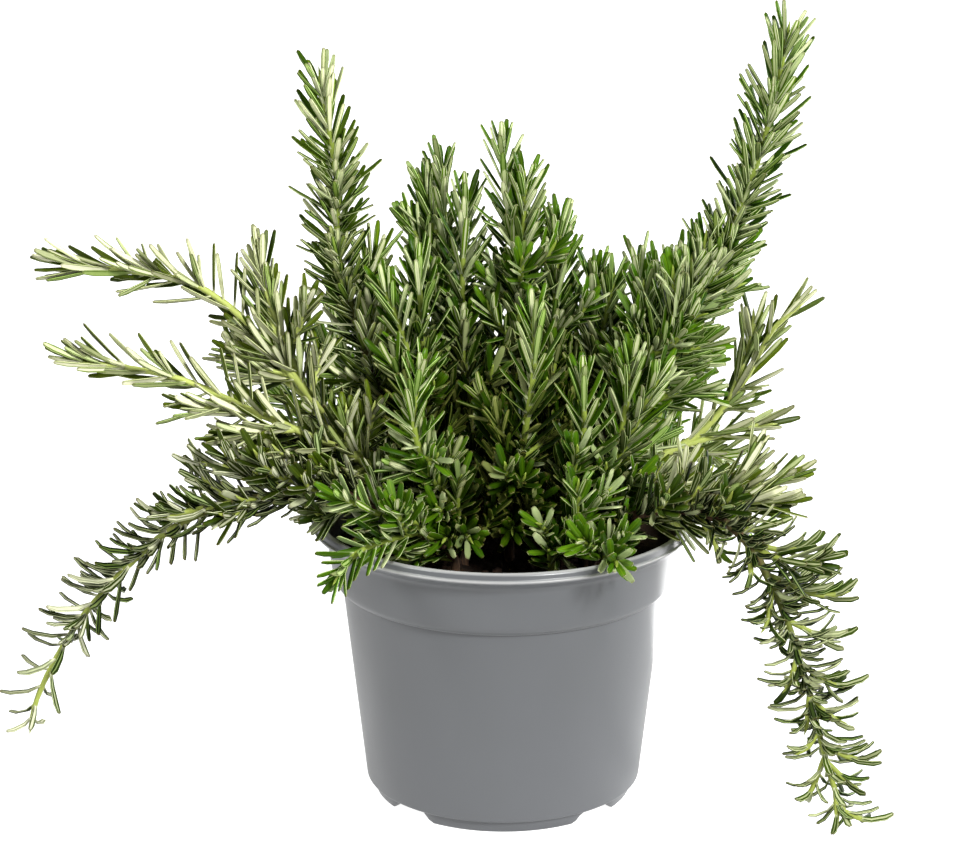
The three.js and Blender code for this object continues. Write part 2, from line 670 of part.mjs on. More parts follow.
// The core of a twig: a slim spindle that starts on its parent's axis.
function twigBody({ walk, radiusAt }) {
  return bodyAlong((share) => {
    const { point, along, side } = walk.at(share * walk.length);
    const above = new THREE.Vector3().crossVectors(along, side).normalize();
    return { point, across: side, above, wide: radiusAt(0), deep: radiusAt(0) };
  }, [0.5], TWIG_SIDES, [0, 1]);
}

// A needle with a flat top and a keel below, pointed at both ends, with its root on the stem's axis.
function needleBody(needle) {
  return bodyAlong((share) => {
    const along = needle.first.clone().lerp(needle.last, share).normalize();
    const across = needle.across.clone().addScaledVector(along, -needle.across.dot(along)).normalize();
    const above = new THREE.Vector3().crossVectors(along, across);
    return { point: needlePoint(needle, share), across, above, wide: LEAF_WIDE, deep: LEAF_DEEP };
  }, [LEAF_WIDEST], 3, [0, 1]);
}

// Clearance between the pieces

// The least distance between two straight stretches.
function stretchGap(a, b) {
  const u = new THREE.Vector3().subVectors(a.to, a.from);
  const v = new THREE.Vector3().subVectors(b.to, b.from);
  const w = new THREE.Vector3().subVectors(a.from, b.from);
  const [uu, uv, vv, uw, vw] = [u.dot(u), u.dot(v), v.dot(v), u.dot(w), v.dot(w)];
  const flat = uu * vv - uv * uv;
  let s = flat > 1e-9 ? THREE.MathUtils.clamp((uv * vw - vv * uw) / flat, 0, 1) : 0;
  const t = THREE.MathUtils.clamp((uv * s + vw) / vv, 0, 1);
  s = THREE.MathUtils.clamp((uv * t - uw) / uu, 0, 1);
  return w.addScaledVector(u, s).addScaledVector(v, -t).length();
}

function needleStretches(needle) {
  const [root, middle, tip] = [0, LEAF_WIDEST, 1].map((share) => needlePoint(needle, share));
  return [
    { from: root, to: middle, radius: LEAF_HALF_WIDTH },
    { from: middle, to: tip, radius: LEAF_HALF_WIDTH },
  ];
}

function stemStretches({ walk, end, radiusAt }) {
  const steps = Math.max(2, Math.round(end / WOOD_STRETCH));
  return Array.from({ length: steps }, (_, i) => ({
    from: walk.at((i / steps) * end).point,
    to: walk.at(((i + 1) / steps) * end).point,
    radius: radiusAt((i / steps) * end),
  }));
}

function twigStretches({ walk, radiusAt }) {
  return [0.1, 0.5].map((share) => ({
    from: walk.at(share * walk.length).point,
    to: walk.at((share < 0.5 ? 0.5 : 1) * walk.length).point,
    radius: radiusAt(0),
  }));
}

function apart(a, b, room) {
  return stretchGap(a, b) > a.radius + b.radius + room;
}

// Whether a needle stays off the pot, the soil and the surface that the pot stands on.
function offThePot(stretch) {
  const keep = stretch.radius + CLEARANCE;
  return [0, 0.25, 0.5, 0.75, 1].every((share) => {
    const { x, y, z } = new THREE.Vector3().lerpVectors(stretch.from, stretch.to, share);
    const r = Math.hypot(x, y);
    const inside = r + keep < BAND_FOOT_RADIUS - WALL && z - keep > soilTop(x, y);
    const above = z - keep > POT_HEIGHT;
    const beside = z - keep > 0 && r - keep > (z + keep > BODY_TOP_Z ? RIM_RADIUS : BODY_TOP_RADIUS);
    return inside || above || beside;
  });
}

// Whether a needle stays clear of the pot, of the other stems and of the needles that they already have.
function isClear(needle, others) {
  const stretches = needleStretches(needle);
  const clearOf = (their) => stretches.every((mine) => apart(mine, their, CLEARANCE));
  const clearOfPlant = ({ wood, leaves }) => wood.every(clearOf) && leaves.every(clearOf);
  return stretches.every(offThePot) && others.every(clearOfPlant);
}

function triangleCount(solid) {
  return solid.getMesh().triVerts.length / 3;
}

// Of each LEAF_STRIDE needles of a shoot the stem takes one that is clear and joins it with few triangles.
function addNeedles(plant, others) {
  for (const shoot of plant.shoots) {
    const needles = needlesOf(shoot);
    for (let i = 0; i < needles.length; i += LEAF_STRIDE) {
      const loose = triangleCount(plant.solid) + 6;
      const joined = needles.slice(i, i + LEAF_STRIDE)
        .filter((needle) => isClear(needle, others))
        .map((needle) => ({ needle, solid: plant.solid.add(solidOf(needleBody(needle))) }))
        .map((choice) => ({ ...choice, count: triangleCount(choice.solid) }))
        .filter((choice) => choice.count > loose);
      if (joined.length > 0) {
        const best = joined.reduce((a, b) => (b.count < a.count ? b : a));
        plant.solid = best.solid;
        plant.leaves.push(...needleStretches(best.needle));
      }
    }
  }
}

function makeStems() {
  const plants = STEMS.map((stem, i) => {
    const main = mainShoot(stem, 1000 * (i + 1));
    const sides = stem.sides.map((side, k) => sideShoot(main, side, stem.habit, 1000 * (i + 1) + k + 1));
    const shoots = [main, ...sides];
    const solid = shoots.map((shoot) => solidOf(stemBody(shoot))).reduce((all, next) => all.add(next));
    return { ...stem, shoots, solid, wood: shoots.flatMap(stemStretches), leaves: [] };
  });
  plants.forEach((plant, i) => {
    const others = plants.filter((other) => other !== plant).flatMap((other) => other.wood);
    const twigs = plant.shoots.flatMap((shoot, k) => {
      const plain = k > 0 ? SIDE_PLAIN : shoot.habit.plain;
      return twigsOf(shoot, plain, 50000 + 1000 * i + 100 * k, others);
    });
    for (const twig of twigs) {
      plant.solid = plant.solid.add(solidOf(twigBody(twig)));
    }
    plant.shoots.push(...twigs);
    plant.wood.push(...twigs.flatMap(twigStretches));
  });
  for (const plant of plants) {
    addNeedles(plant, plants.filter((other) => other !== plant));
  }
  return plants.map(({ name, habit, solid }) => {
    const finish = { color: LEAF_GREENS[habit], roughness: 0.5, metalness: 0 };
    return named(name, geometryOf(solid), finish);
  });
}

const group = new THREE.Group();
group.add(makePot(), makeSoil(), ...makeStems());

export default group;
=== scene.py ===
"""Potted rosemary: fine shapes, materials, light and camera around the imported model. Metres, +Z up."""

import math
from collections import namedtuple

import bmesh
import bpy
import numpy as np
from mathutils import Matrix, Vector, noise


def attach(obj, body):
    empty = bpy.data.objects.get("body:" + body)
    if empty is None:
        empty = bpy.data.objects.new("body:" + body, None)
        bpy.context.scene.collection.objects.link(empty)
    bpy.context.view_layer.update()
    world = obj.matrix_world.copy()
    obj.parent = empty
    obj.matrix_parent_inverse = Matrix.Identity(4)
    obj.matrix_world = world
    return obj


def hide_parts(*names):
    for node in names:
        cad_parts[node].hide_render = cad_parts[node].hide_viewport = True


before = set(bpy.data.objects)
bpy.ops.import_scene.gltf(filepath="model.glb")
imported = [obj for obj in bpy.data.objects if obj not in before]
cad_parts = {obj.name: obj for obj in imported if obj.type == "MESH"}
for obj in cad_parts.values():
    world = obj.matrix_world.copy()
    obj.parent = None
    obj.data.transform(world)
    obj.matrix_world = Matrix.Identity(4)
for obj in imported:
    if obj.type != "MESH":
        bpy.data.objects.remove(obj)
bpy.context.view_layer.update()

MM = 0.001
UP = Vector((0, 0, 1))

# Camera and studio: metres, degrees, mm for the lens and its sensor, and strengths of light
CAMERA_PLACE = (0, -0.960, 0.414)
CAMERA_PITCH = 16.69
CAMERA_YAW = 0.37
CAMERA_LENS = 110.9
CAMERA_SENSOR = 36
CAMERA_REACH = (0.02, 20)
AMBIENT = 0.12
FLOOR_SIZE = 8
FLOOR_GLOW = 0.66
CARD_PLACE = (0.37, 0.4, 0.002)
CARD_SIZE = 0.6
CARD_GLOW = 4
LIGHT_TARGET = (0, 0, 0.12)

# Pot, in mm and degrees
RIM_RADIUS = 65
POT_HEIGHT = 98
WALL = 1.2
BODY_FOOT_RADIUS = 46.9
BODY_TOP_RADIUS = 54.6
BODY_FOOT_Z = 4.6
BODY_TOP_Z = 74
BAND_RADIUS = 59.6
BAND_FOOT_RADIUS = 57.9
BAND_FOOT_Z = 79.5
LIP_Z = 94.8
RIM_INNER_RADIUS = 61.7
FOOT_RADIUS = 43.9
FOOT_RING = 1.6
FLOOR_Z = 4.8
FLOOR = 1.4
PAD_RADIUS = 12
POT_SIDES = 180
NOTCH_WIDE = 25
NOTCH_NARROW = 13
NOTCH_HEIGHT = 4.2
DRAIN_RADIUS = 3.5
DRAIN_RING = 31
DRAIN_HOLES = 6
DRILL_LENGTH = 20
DRILL_SIDES = 32
POT_SHARP = 40

# Soil, in mm, and how far a lump's middle is above it, as a share of its half height
SOIL_Z = 85
SOIL_LUMP = 1.6
SOIL_EDGE = 57
SOIL_FOOT_RADIUS = 45
SOIL_FOOT_Z = 6.5
SOIL_RINGS = 64
SOIL_SIDES = 168
LUMP_EDGE = 4
LUMP_RISE = 0.35

# Leafy stems: sizes in mm, angles in degrees, the rest as shares
STEM_FOOT_Z = 68.3
STEM_STRAIGHT = (3.5, 8)
SPAN_STEPS = 12
STEM_TIP_RADIUS = 0.85
STEM_TAPER = 0.8
SIDE_RADIUS = 0.75
SIDE_BEND = 0.3
SIDE_MIDDLE = 0.45
SIDE_BARE = 4
SIDE_PLAIN = 26
TWIG_GAPS = (6.7, 11.3)
TWIG_LENGTHS = (16, 34)
TWIG_LEANS = (38, 62)
TWIG_TURN = 137.5
TWIG_RISE = 0.7
TWIG_HANG = -0.45
TWIG_TRIES = 4
TWIG_OFF_POT = 1
TWIG_SLIM = 0.5
TWIG_THICK = 0.2
TWIG_ROOM = 4.4
WOOD_POINT_GAP = 8
WOOD_SIDES = 9
WOOD_STEP = 3.2
WOOD_CELL = 6
WOODY_FOOT = 62
WOODY_ZONE = 35
WOODY_AGE = 1.3
WOOD_UNEVEN = 0.1
NODE_SWELL = 0.12
BARK_AT = 0.7
BARK_ZONE = 0.6
BARK_ROUGH = 0.16
WOOD_END = ((0.2, 0.8), (0.4, 0.45))
WOOD_POINT = 0.55
STEM_SHARP = 62

# Needles: sizes in mm, angles in degrees, the rest as shares
LEAF_HALF_WIDTH = 1.1
LEAF_SIZES = (0.84, 1.14)
LEAF_WIDTHS = (0.86, 1.04)
YOUNG_WIDTH = 0.85
LEAF_ROOM = 0.6
LEAF_LIFTS = (0, 0.4, 0.9, 1.6)
LEAF_TESTS = (0.3, 0.5, 0.7, 0.85, 1)
TIP_REACH = 0.75
TIP_SIZE = 0.78
GROWN_AT = 14
OPEN_AT = 42
PAIR_TURN = 50
PAIR_GAPS = (0.8, 1.2)
TUFT_AT = 22
TUFT_LEAVES = 3
TUFT_TURN = 48
TUFT_OPEN = (18, 62)
TUFT_SIZES = (0.5, 0.8)
TUFT_UP = 1.5

# Where a needle starts to be deep in the bush, and where it is fully, for painted shade there that also
# stands for older, darker needles: from the axis and from the floor
INNER_RADII = (48, 28)
INNER_HEIGHTS = (170, 130)

# Seeds, and how far apart they are for two stems and for two shoots
STEM_STEP = 1000
SHOOT_STEP = 100
TWIG_SEED = 50000
TINT_SEED = 7000
ROUGH_SEED = 900000

# How each kind of shoot grows, in mm and degrees. leaf: length of a full needle. gap: from pair to pair,
# times tip_gap at the tip, over tip_zone. open: a needle's angle from the stem, tip that at the tip, and
# vary how far it varies. rise: how it turns up towards its end, and spread outwards. tuft: the share of
# pairs with a young tuft. bare: the foot without needles. plain: the end without twigs. aging: how soon the
# needles darken and the bark turns brown.
HABITS = {
    "tall": dict(
        leaf=18, gap=1.7, tip_gap=0.85, tip_zone=12, open=54, tip=26, vary=28, rise=0.25, spread=0.05,
        tuft=0.8, bare=14, plain=92, aging=0.9,
    ),
    "crown": dict(
        leaf=17, gap=2.3, tip_gap=0.6, tip_zone=10, open=46, tip=20, vary=24, rise=0.2, spread=0.1,
        tuft=0.4, bare=10, plain=34, aging=1,
    ),
    "arch": dict(
        leaf=19.5, gap=3.7, tip_gap=0.4, tip_zone=18, open=44, tip=12, vary=40, rise=0.25, spread=0.05,
        tuft=0.3, bare=16, plain=78, aging=0.5,
    ),
    "pale": dict(
        leaf=19.5, gap=5.4, tip_gap=0.7, tip_zone=18, open=38, tip=14, vary=30, rise=0.15, spread=0.05,
        tuft=0.1, bare=16, plain=74, aging=0.35,
    ),
    "trail": dict(
        leaf=17.5, gap=2.4, tip_gap=2.6, tip_zone=70, open=50, tip=24, vary=30, rise=0.9, spread=0.15,
        tuft=0.6, bare=18, plain=95, aging=0.7,
    ),
    "curl": dict(
        leaf=15.5, gap=2.4, tip_gap=1.3, tip_zone=30, open=60, tip=28, vary=36, rise=1, spread=0.2,
        tuft=0.8, bare=18, plain=84, aging=0.9,
    ),
    "front": dict(
        leaf=14.5, gap=2.2, tip_gap=0.6, tip_zone=8, open=50, tip=22, vary=24, rise=0.15, spread=0.2,
        tuft=0.3, bare=8, plain=26, aging=0.8,
    ),
    "back": dict(
        leaf=16.5, gap=3, tip_gap=0.5, tip_zone=10, open=50, tip=20, vary=24, rise=0.35, spread=0.1,
        tuft=0.3, bare=14, plain=30, aging=1,
    ),
    "twig": dict(
        leaf=14.5, gap=2.3, tip_gap=0.6, tip_zone=8, open=48, tip=24, vary=24, rise=0.15, spread=0.15,
        tuft=0, bare=4, plain=0, aging=0.8,
    ),
}

# Each rooted stem: its name, after stem_ in the source and spray_ here, habit, foot in the soil, radius,
# route from just above the soil to the tip, side shoots, each of which leaves it at a share of its length
# and ends at a tip, and look.
Stem = namedtuple("Stem", "name habit foot radius route sides look", defaults=["rosemary"])
STEMS = [
    Stem("tall_left", "tall", (-25, 8), 2,
         [[-35, 10, 117], [-48, 9, 157], [-55, 6, 186], [-55, 3, 212], [-61, 0, 256]],
         [[0.3, -44, 22, 172], [0.42, -39, 2, 180], [0.46, -38, 18, 192]], "rosemary_bright"),
    Stem("upper_left", "arch", (-35, -2), 1.9,
         [[-48, -6, 115], [-66, -8, 143], [-79, -8, 160], [-94, -4, 173], [-111, -2, 180], [-156, 0, 185]],
         [[0.44, -81, -2, 198], [0.42, -97, 4, 154], [0.5, -77, 0, 188], [0.46, -90, -14, 168]],
         "rosemary_pale"),
    Stem("mid_left", "arch", (-29, -12), 1.9,
         [[-43, -22, 120], [-60, -26, 131], [-82, -26, 141], [-108, -24, 152], [-150, -20, 158]],
         [[0.3, -99, -10, 126], [0.56, -112, -30, 142], [0.5, -96, -38, 130]], "rosemary_pale"),
    Stem("trailing_left", "trail", (-24, -23), 1.9,
         [[-43, -34, 112], [-65, -38, 117], [-103, -36, 107], [-135, -33, 77], [-154, -31, 46],
          [-160, -30, 23]],
         [[0.26, -108, -26, 124], [0.36, -120, -44, 108]], "rosemary_olive"),
    Stem("front_left", "front", (-16, -33), 1.7,
         [[-30, -42, 106], [-46, -52, 117], [-56, -64, 126]],
         [[0.4, -32, -62, 122], [0.5, -56, -77, 95]]),
    Stem("front_middle", "front", (-13, -20), 1.8,
         [[-21, -34, 120], [-28, -42, 136], [-28, -43, 152], [-23, -42, 168]],
         [[0.3, -12, -44, 128], [0.42, -34, -30, 150], [0.24, -21, -49, 101], [0.27, -8, -50, 101]]),
    Stem("crown_back", "crown", (-17, 24), 1.9,
         [[-20, 28, 122], [-19, 30, 164], [-20, 30, 192], [-22, 28, 221]],
         [[0.35, -36, 36, 176], [0.5, -8, 40, 186], [0.56, -38, 26, 200], [0.6, -31, 30, 214]]),
    Stem("crown_left", "crown", (-20, -3), 1.8,
         [[-25, 0, 123], [-27, -1, 161], [-29, -1, 196]],
         [[0.4, -42, -14, 160], [0.48, -44, -8, 186], [0.22, -34, -30, 106]]),
    Stem("crown_middle", "crown", (-9, 12), 1.8,
         [[-12, 17, 132], [-14, 19, 170], [-12, 20, 211]],
         [[0.4, -15, 2, 171]]),
    Stem("crown_right", "crown", (1, 19), 1.9,
         [[3, 22, 131], [5, 20, 167], [0, 16, 209], [0, 14, 230]],
         [[0.52, 7, 6, 220]]),
    Stem("bright_front", "crown", (2, -8), 1.8,
         [[5, -24, 120], [8, -30, 142], [10, -32, 162], [8, -32, 185]],
         [[0.3, -6, -34, 150], [0.2, 3, -45, 102], [0.26, 16, -44, 114]]),
    Stem("inner_right", "crown", (12, 10), 1.8,
         [[15, 16, 124], [17, 19, 161], [21, 20, 186]],
         [[0.45, 19, 36, 197], [0.35, 18, 4, 160], [0.5, 19, 16, 203]]),
    Stem("slim_right", "crown", (22, 14), 1.6,
         [[28, 18, 122], [30, 18, 152], [31, 16, 186]],
         [[0.45, 38, 8, 185]]),
    Stem("front_right", "crown", (17, -15), 1.7,
         [[23, -28, 118], [26, -34, 137], [25, -35, 164]],
         [[0.35, 24, -48, 140], [0.22, 12, -37, 103], [0.26, 32, -40, 108]]),
    Stem("right_cluster", "crown", (32, 7), 1.8,
         [[42, 10, 120], [49, 12, 154], [53, 12, 188]],
         [[0.45, 62, 18, 190], [0.5, 46, 2, 184], [0.35, 45, 25, 188]]),
    Stem("right_low", "crown", (27, -5), 1.7,
         [[34, -13, 112], [40, -17, 138], [43, -18, 164]],
         [[0.4, 55, -20, 160], [0.24, 43, -32, 107]]),
    Stem("tall_right", "tall", (22, 2), 2.2,
         [[34, -2, 125], [50, -4, 156], [64, -4, 176], [74, -3, 195], [82, -2, 217], [88, 0, 241],
          [93, 0, 271]],
         [[0.34, 76, 4, 150], [0.42, 71, -20, 174], [0.3, 76, -12, 142], [0.46, 62, -8, 196],
          [0.49, 83, -8, 198], [0.44, 86, -3, 181], [0.36, 78, -6, 160], [0.5, 66, -6, 204]]),
    Stem("pale_right", "pale", (38, 16), 1.8,
         [[51, 26, 107], [68, 30, 117], [83, 30, 136], [92, 24, 156], [106, 16, 171]],
         [[0.42, 101, 26, 122], [0.6, 84, 22, 170]], "rosemary_pale"),
    Stem("low_right", "arch", (36, -14), 1.8,
         [[47, -28, 105], [61, -36, 112], [75, -38, 120], [84, -38, 140]],
         [[0.5, 102, -36, 125], [0.46, 95, -38, 111], [0.56, 98, -46, 117]], "rosemary_pale"),
    Stem("trailing_right", "curl", (28, -24), 1.9,
         [[42, -35, 108], [60, -44, 113], [75, -50, 108], [86, -54, 92], [94, -57, 72], [100, -58, 52],
          [105, -59, 33], [110, -60, 18], [117, -60, 5]],
         [[0.36, 68, -56, 93], [0.46, 104, -46, 105], [0.46, 76, -60, 87], [0.52, 117, -50, 89],
          [0.54, 79, -64, 74], [0.6, 115, -52, 75], [0.66, 86, -64, 54], [0.68, 118, -54, 57],
          [0.74, 117, -60, 45], [0.73, 95, -66, 39], [0.8, 89, -61, 34], [0.82, 126, -56, 34],
          [0.84, 92, -66, 17], [0.85, 121, -63, 23], [0.9, 108, -66, 5], [0.94, 127, -57, 11]],
         "rosemary_deep"),
    Stem("front_fans", "front", (16, -31), 1.7,
         [[22, -38, 104], [24, -45, 117], [24, -49, 130]],
         [[0.4, 38, -46, 125], [0.35, 8, -50, 112], [0.3, 29, -56, 107], [0.26, 14, -53, 102]]),
    Stem("rim_right", "front", (29, -36), 1.6,
         [[32, -45, 100], [26, -58, 107], [21, -66, 112]],
         [[0.4, 45, -57, 111], [0.45, 36, -74, 102]]),
    Stem("back_left_low", "back", (-38, 14), 1.8,
         [[-50, 26, 110], [-62, 42, 122], [-74, 58, 127], [-86, 72, 120]],
         [[0.4, -88, 40, 130], [0.5, -68, 74, 112]]),
    Stem("back_left", "back", (-32, 24), 1.8,
         [[-44, 38, 118], [-56, 56, 138], [-62, 72, 158]],
         [[0.4, -70, 44, 152], [0.4, -44, 66, 140]]),
    Stem("back_fan_left", "back", (-26, 38), 1.7,
         [[-32, 52, 106], [-40, 74, 116], [-42, 96, 122]],
         [[0.4, -58, 84, 110], [0.4, -22, 86, 118]]),
    Stem("back_upright", "back", (-8, 34), 1.8,
         [[-6, 46, 122], [-4, 54, 150], [-2, 58, 178]],
         [[0.4, -22, 56, 154], [0.45, 12, 60, 158]]),
    Stem("back_middle", "trail", (0, 46), 1.8,
         [[2, 62, 110], [6, 82, 110], [8, 98, 88], [8, 106, 62]],
         [[0.35, -12, 88, 112], [0.5, 26, 94, 94]]),
    Stem("back_right_upright", "back", (14, 32), 1.8,
         [[22, 42, 118], [30, 52, 146], [34, 58, 176]],
         [[0.4, 44, 46, 158], [0.4, 20, 64, 146]]),
    Stem("back_fan_right", "back", (24, 40), 1.7,
         [[30, 54, 106], [40, 72, 118], [46, 88, 130]],
         [[0.4, 60, 70, 116], [0.4, 26, 84, 112]]),
    Stem("back_right", "back", (34, 29), 1.8,
         [[46, 40, 112], [58, 48, 136], [64, 54, 160]],
         [[0.4, 72, 56, 130]]),
    Stem("back_right_low", "trail", (44, 22), 1.7,
         [[58, 34, 106], [72, 46, 106], [84, 56, 86], [90, 62, 60]],
         [[0.4, 90, 38, 104], [0.5, 70, 66, 92]]),
]


def mix(low, high, share):
    return low + (high - low) * share


def smooth(share):
    t = min(max(share, 0), 1)
    return t * t * (3 - 2 * t)


MASK = 0xFFFFFFFF


def seeded(seed):
    """A repeatable row of numbers from 0 to 1."""
    state = seed & MASK

    def draw():
        nonlocal state
        state = (state + 0x6D2B79F5) & MASK
        bits = ((state ^ (state >> 15)) * (1 | state)) & MASK
        bits = (bits + (((bits ^ (bits >> 7)) * (61 | bits)) & MASK)) & MASK ^ bits
        return ((bits ^ (bits >> 14)) & MASK) / 4294967296

    return draw


# Shoots


class Walk:
    """A line through points, read by the distance along it, with a side direction that never spins."""

    def __init__(self, points):
        self.points = through(points)
        self.lengths = [0.0]
        for a, b in zip(self.points, self.points[1:]):
            self.lengths.append(self.lengths[-1] + (b - a).length)
        self.length = self.lengths[-1]
        first = (self.points[1] - self.points[0]).normalized()
        helper = Vector((1, 0, 0)) if abs(first.x) < 0.8 else Vector((0, 1, 0))
        side = first.cross(helper).normalized()
        self.sides = []
        for i in range(len(self.points)):
            along = self.along_at(i)
            side = (side - along * side.dot(along)).normalized()
            self.sides.append(side)

    def along_at(self, i):
        last = len(self.points) - 1
        return (self.points[min(i + 1, last)] - self.points[max(i - 1, 0)]).normalized()

    def at(self, distance):
        s = min(max(distance, 0), self.length)
        i = 1
        while i < len(self.lengths) - 1 and self.lengths[i] < s:
            i += 1
        share = (s - self.lengths[i - 1]) / (self.lengths[i] - self.lengths[i - 1])
        return (
            self.points[i - 1].lerp(self.points[i], share),
            self.along_at(i - 1).lerp(self.along_at(i), share).normalized(),
            self.sides[i - 1].lerp(self.sides[i], share).normalized(),
        )


def through(points):
    """The points of a smooth line through points."""
    padded = [2 * points[0] - points[1], *points, 2 * points[-1] - points[-2]]
    line = []
    for i in range(len(points) - 1):
        a, b, c, d = padded[i : i + 4]
        start, end = (c - a) / 2, (d - b) / 2
        for k in range(SPAN_STEPS):
            t = k / SPAN_STEPS
            line.append(
                b + start * t + (3 * (c - b) - 2 * start - end) * t**2 + (2 * (b - c) + start + end) * t**3
            )
    return [*line, points[-1]]


def leaning(along, side, turn, lean):
    """A direction that leans from along by lean radians, and the one it leans to, turn degrees from side."""
    out = Matrix.Rotation(math.radians(turn), 3, along) @ side
    return along * math.cos(lean) + out * math.sin(lean), out


class Shoot:
    """Its walk, where its wood ends, and how it grows."""

    def __init__(self, points, habit, radius, bare, seed, rooted=False):
        self.walk = Walk(points)
        self.habit = HABITS[habit]
        self.end = self.walk.length - TIP_REACH * self.habit["leaf"]
        self.radius = radius
        self.bare = bare
        self.seed = seed
        self.rooted = rooted

    def radius_at(self, s):
        return mix(self.radius, STEM_TIP_RADIUS, smooth(s / self.end) ** STEM_TAPER)


def main_shoot(stem, seed):
    x, y = stem.foot
    points = [Vector((x, y, z)) for z in (STEM_FOOT_Z, *(SOIL_Z + rise for rise in STEM_STRAIGHT))]
    points += [Vector(place) for place in stem.route]
    bare = SOIL_Z - STEM_FOOT_Z + HABITS[stem.habit]["bare"]
    return Shoot(points, stem.habit, stem.radius, bare, seed, rooted=True)


def side_shoot(parent, place, habit, seed):
    start = place[0] * parent.walk.length
    point, along, _ = parent.walk.at(start)
    tip = Vector(place[1:])
    bend = point + along * ((tip - point).length * SIDE_BEND)
    line = [point, bend.lerp(tip, SIDE_MIDDLE), tip]
    return Shoot(line, habit, SIDE_RADIUS * parent.radius_at(start), SIDE_BARE, seed)


def wood_line(shoot):
    """Points along a shoot's wood, each with its radius there."""
    steps = max(2, round(shoot.end / WOOD_POINT_GAP))
    places = [i / steps * shoot.end for i in range(steps + 1)]
    return [(shoot.walk.at(s)[0], shoot.radius_at(s)) for s in places]


def twigs_of(parent, plain, seed, others):
    """Short leafy twigs round a shoot, each where it is clear of the pot and of the other stems' wood."""
    random = seeded(seed)
    twigs = []
    s, turn = parent.bare, 360 * random()
    while s < parent.end - plain:
        point, along, side = parent.walk.at(s)
        half = mix(*TWIG_LENGTHS, random()) / 2
        lean = math.radians(mix(*TWIG_LEANS, random()))
        for _ in range(TWIG_TRIES):
            turn += TWIG_TURN
            first = leaning(along, side, turn, lean)[0]
            middle = point + first * half
            tip = middle + (first + UP * TWIG_RISE).normalized() * half
            radius = TWIG_SLIM * parent.radius_at(s) + TWIG_THICK
            twig = Shoot([point, middle, tip], "twig", radius, HABITS["twig"]["bare"], seed + round(s))
            line = wood_line(twig)[1:]
            clear = all(off_the_pot(p, r + TWIG_OFF_POT) for p, r in line) and all(
                (p - q).length > r + TWIG_ROOM for p, r in line for q, _ in others
            )
            if first.z > TWIG_HANG and clear:
                twigs.append(twig)
                break
        s += mix(*TWIG_GAPS, random())
    return twigs


def needles_of(shoot):
    """The needles of a shoot, in opposite pairs that cross, from the tip down, with young tufts in the
    axils. Each is a root, its first and last direction, the direction across it, its length, its age, which
    is the length of shoot above it times the habit's aging, and whether it is young."""
    random = seeded(shoot.seed)
    habit = shoot.habit
    needles = []

    def grow(s, turn, open_, length, young):
        point, along, side = shoot.walk.at(s)
        first, out = leaning(along, side, turn, math.radians(open_))
        last = (first + UP * habit["rise"] + out * habit["spread"]).normalized()
        across = along.cross(out).normalized()
        needles.append((point, first, last, across, length, (shoot.end - s) * habit["aging"], young))

    turn = 45
    s = shoot.end
    while s > shoot.bare:
        older = shoot.end - s
        open_ = mix(habit["tip"], habit["open"], smooth(older / OPEN_AT))
        size = habit["leaf"] * mix(TIP_SIZE, 1, smooth(older / GROWN_AT))
        for half in (0, 180):
            around = turn + half + PAIR_TURN * (random() - 0.5)
            lean = open_ + habit["vary"] * (random() - 0.5)
            grow(s, around, lean, size * mix(*LEAF_SIZES, random()), 0)
        tufted = older > TUFT_AT and random() < habit["tuft"]
        half = 0 if random() < 0.5 else 180
        young = TUFT_LEAVES + math.floor(TUFT_LEAVES * random())
        for _ in range(young if tufted else 0):
            around = turn + half + mix(-TUFT_TURN, TUFT_TURN, random())
            lean = mix(*TUFT_OPEN, random())
            grow(s + TUFT_UP, around, lean, habit["leaf"] * mix(*TUFT_SIZES, random()), 1)
        turn += 90
        gap = habit["gap"] * mix(habit["tip_gap"], 1, smooth(older / habit["tip_zone"]))
        s -= gap * mix(*PAIR_GAPS, random())
    return needles


# Meshes


def placed(name, data):
    """A new object in the scene."""
    thing = bpy.data.objects.new(name, data)
    bpy.context.collection.objects.link(thing)
    return thing


def build(name, points, corners, counts, slots, materials):
    """A smooth mesh piece from arrays: points in mm, the corners of all the faces in a row, and each face's
    number of corners and material."""
    mesh = bpy.data.meshes.new(name)
    mesh.vertices.add(len(points))
    mesh.vertices.foreach_set("co", (np.asarray(points, np.float32) * MM).ravel())
    mesh.loops.add(len(corners))
    mesh.loops.foreach_set("vertex_index", np.asarray(corners, np.int32))
    mesh.polygons.add(len(counts))
    counts = np.asarray(counts, np.int32)
    mesh.polygons.foreach_set("loop_start", np.cumsum(counts) - counts)
    mesh.polygons.foreach_set("material_index", np.asarray(slots, np.int32))
    mesh.update(calc_edges=True)
    for material in materials:
        mesh.materials.append(material)
    return placed(name, mesh)


def add_map(piece, name, places):
    piece.data.uv_layers.new(name=name, do_init=False).uv.foreach_set(
        "vector", np.asarray(places, np.float32).ravel()
    )


def add_facts(piece, facts):
    """A vector of facts for each point, which the materials read."""
    layer = piece.data.attributes.new("growth", "FLOAT_VECTOR", "POINT")
    layer.data.foreach_set("vector", np.asarray(facts, np.float32).ravel())


def finish_piece(piece, slot, *nodes):
    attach(piece, "root")
    if nodes:
        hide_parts(*nodes)


# A needle's section, from the groove on its top over one edge to the midrib below and back, in half widths
# across and in mm above; and its width and depth at the shares of its length that have a ring.
SECTION = np.array([
    (0, 0.22), (0.5, 0.42), (1, 0.04), (0.8, -0.42), (0.42, -0.2),
    (0, -0.38), (-0.42, -0.2), (-0.8, -0.42), (-1, 0.04), (-0.5, 0.42),
])
RING_SHARES = np.array([0.06, 0.36, 0.76, 0.965])
RING_WIDTHS = np.array([0.52, 0.96, 1.1, 0.72])
SECTION_SIDES = len(SECTION)


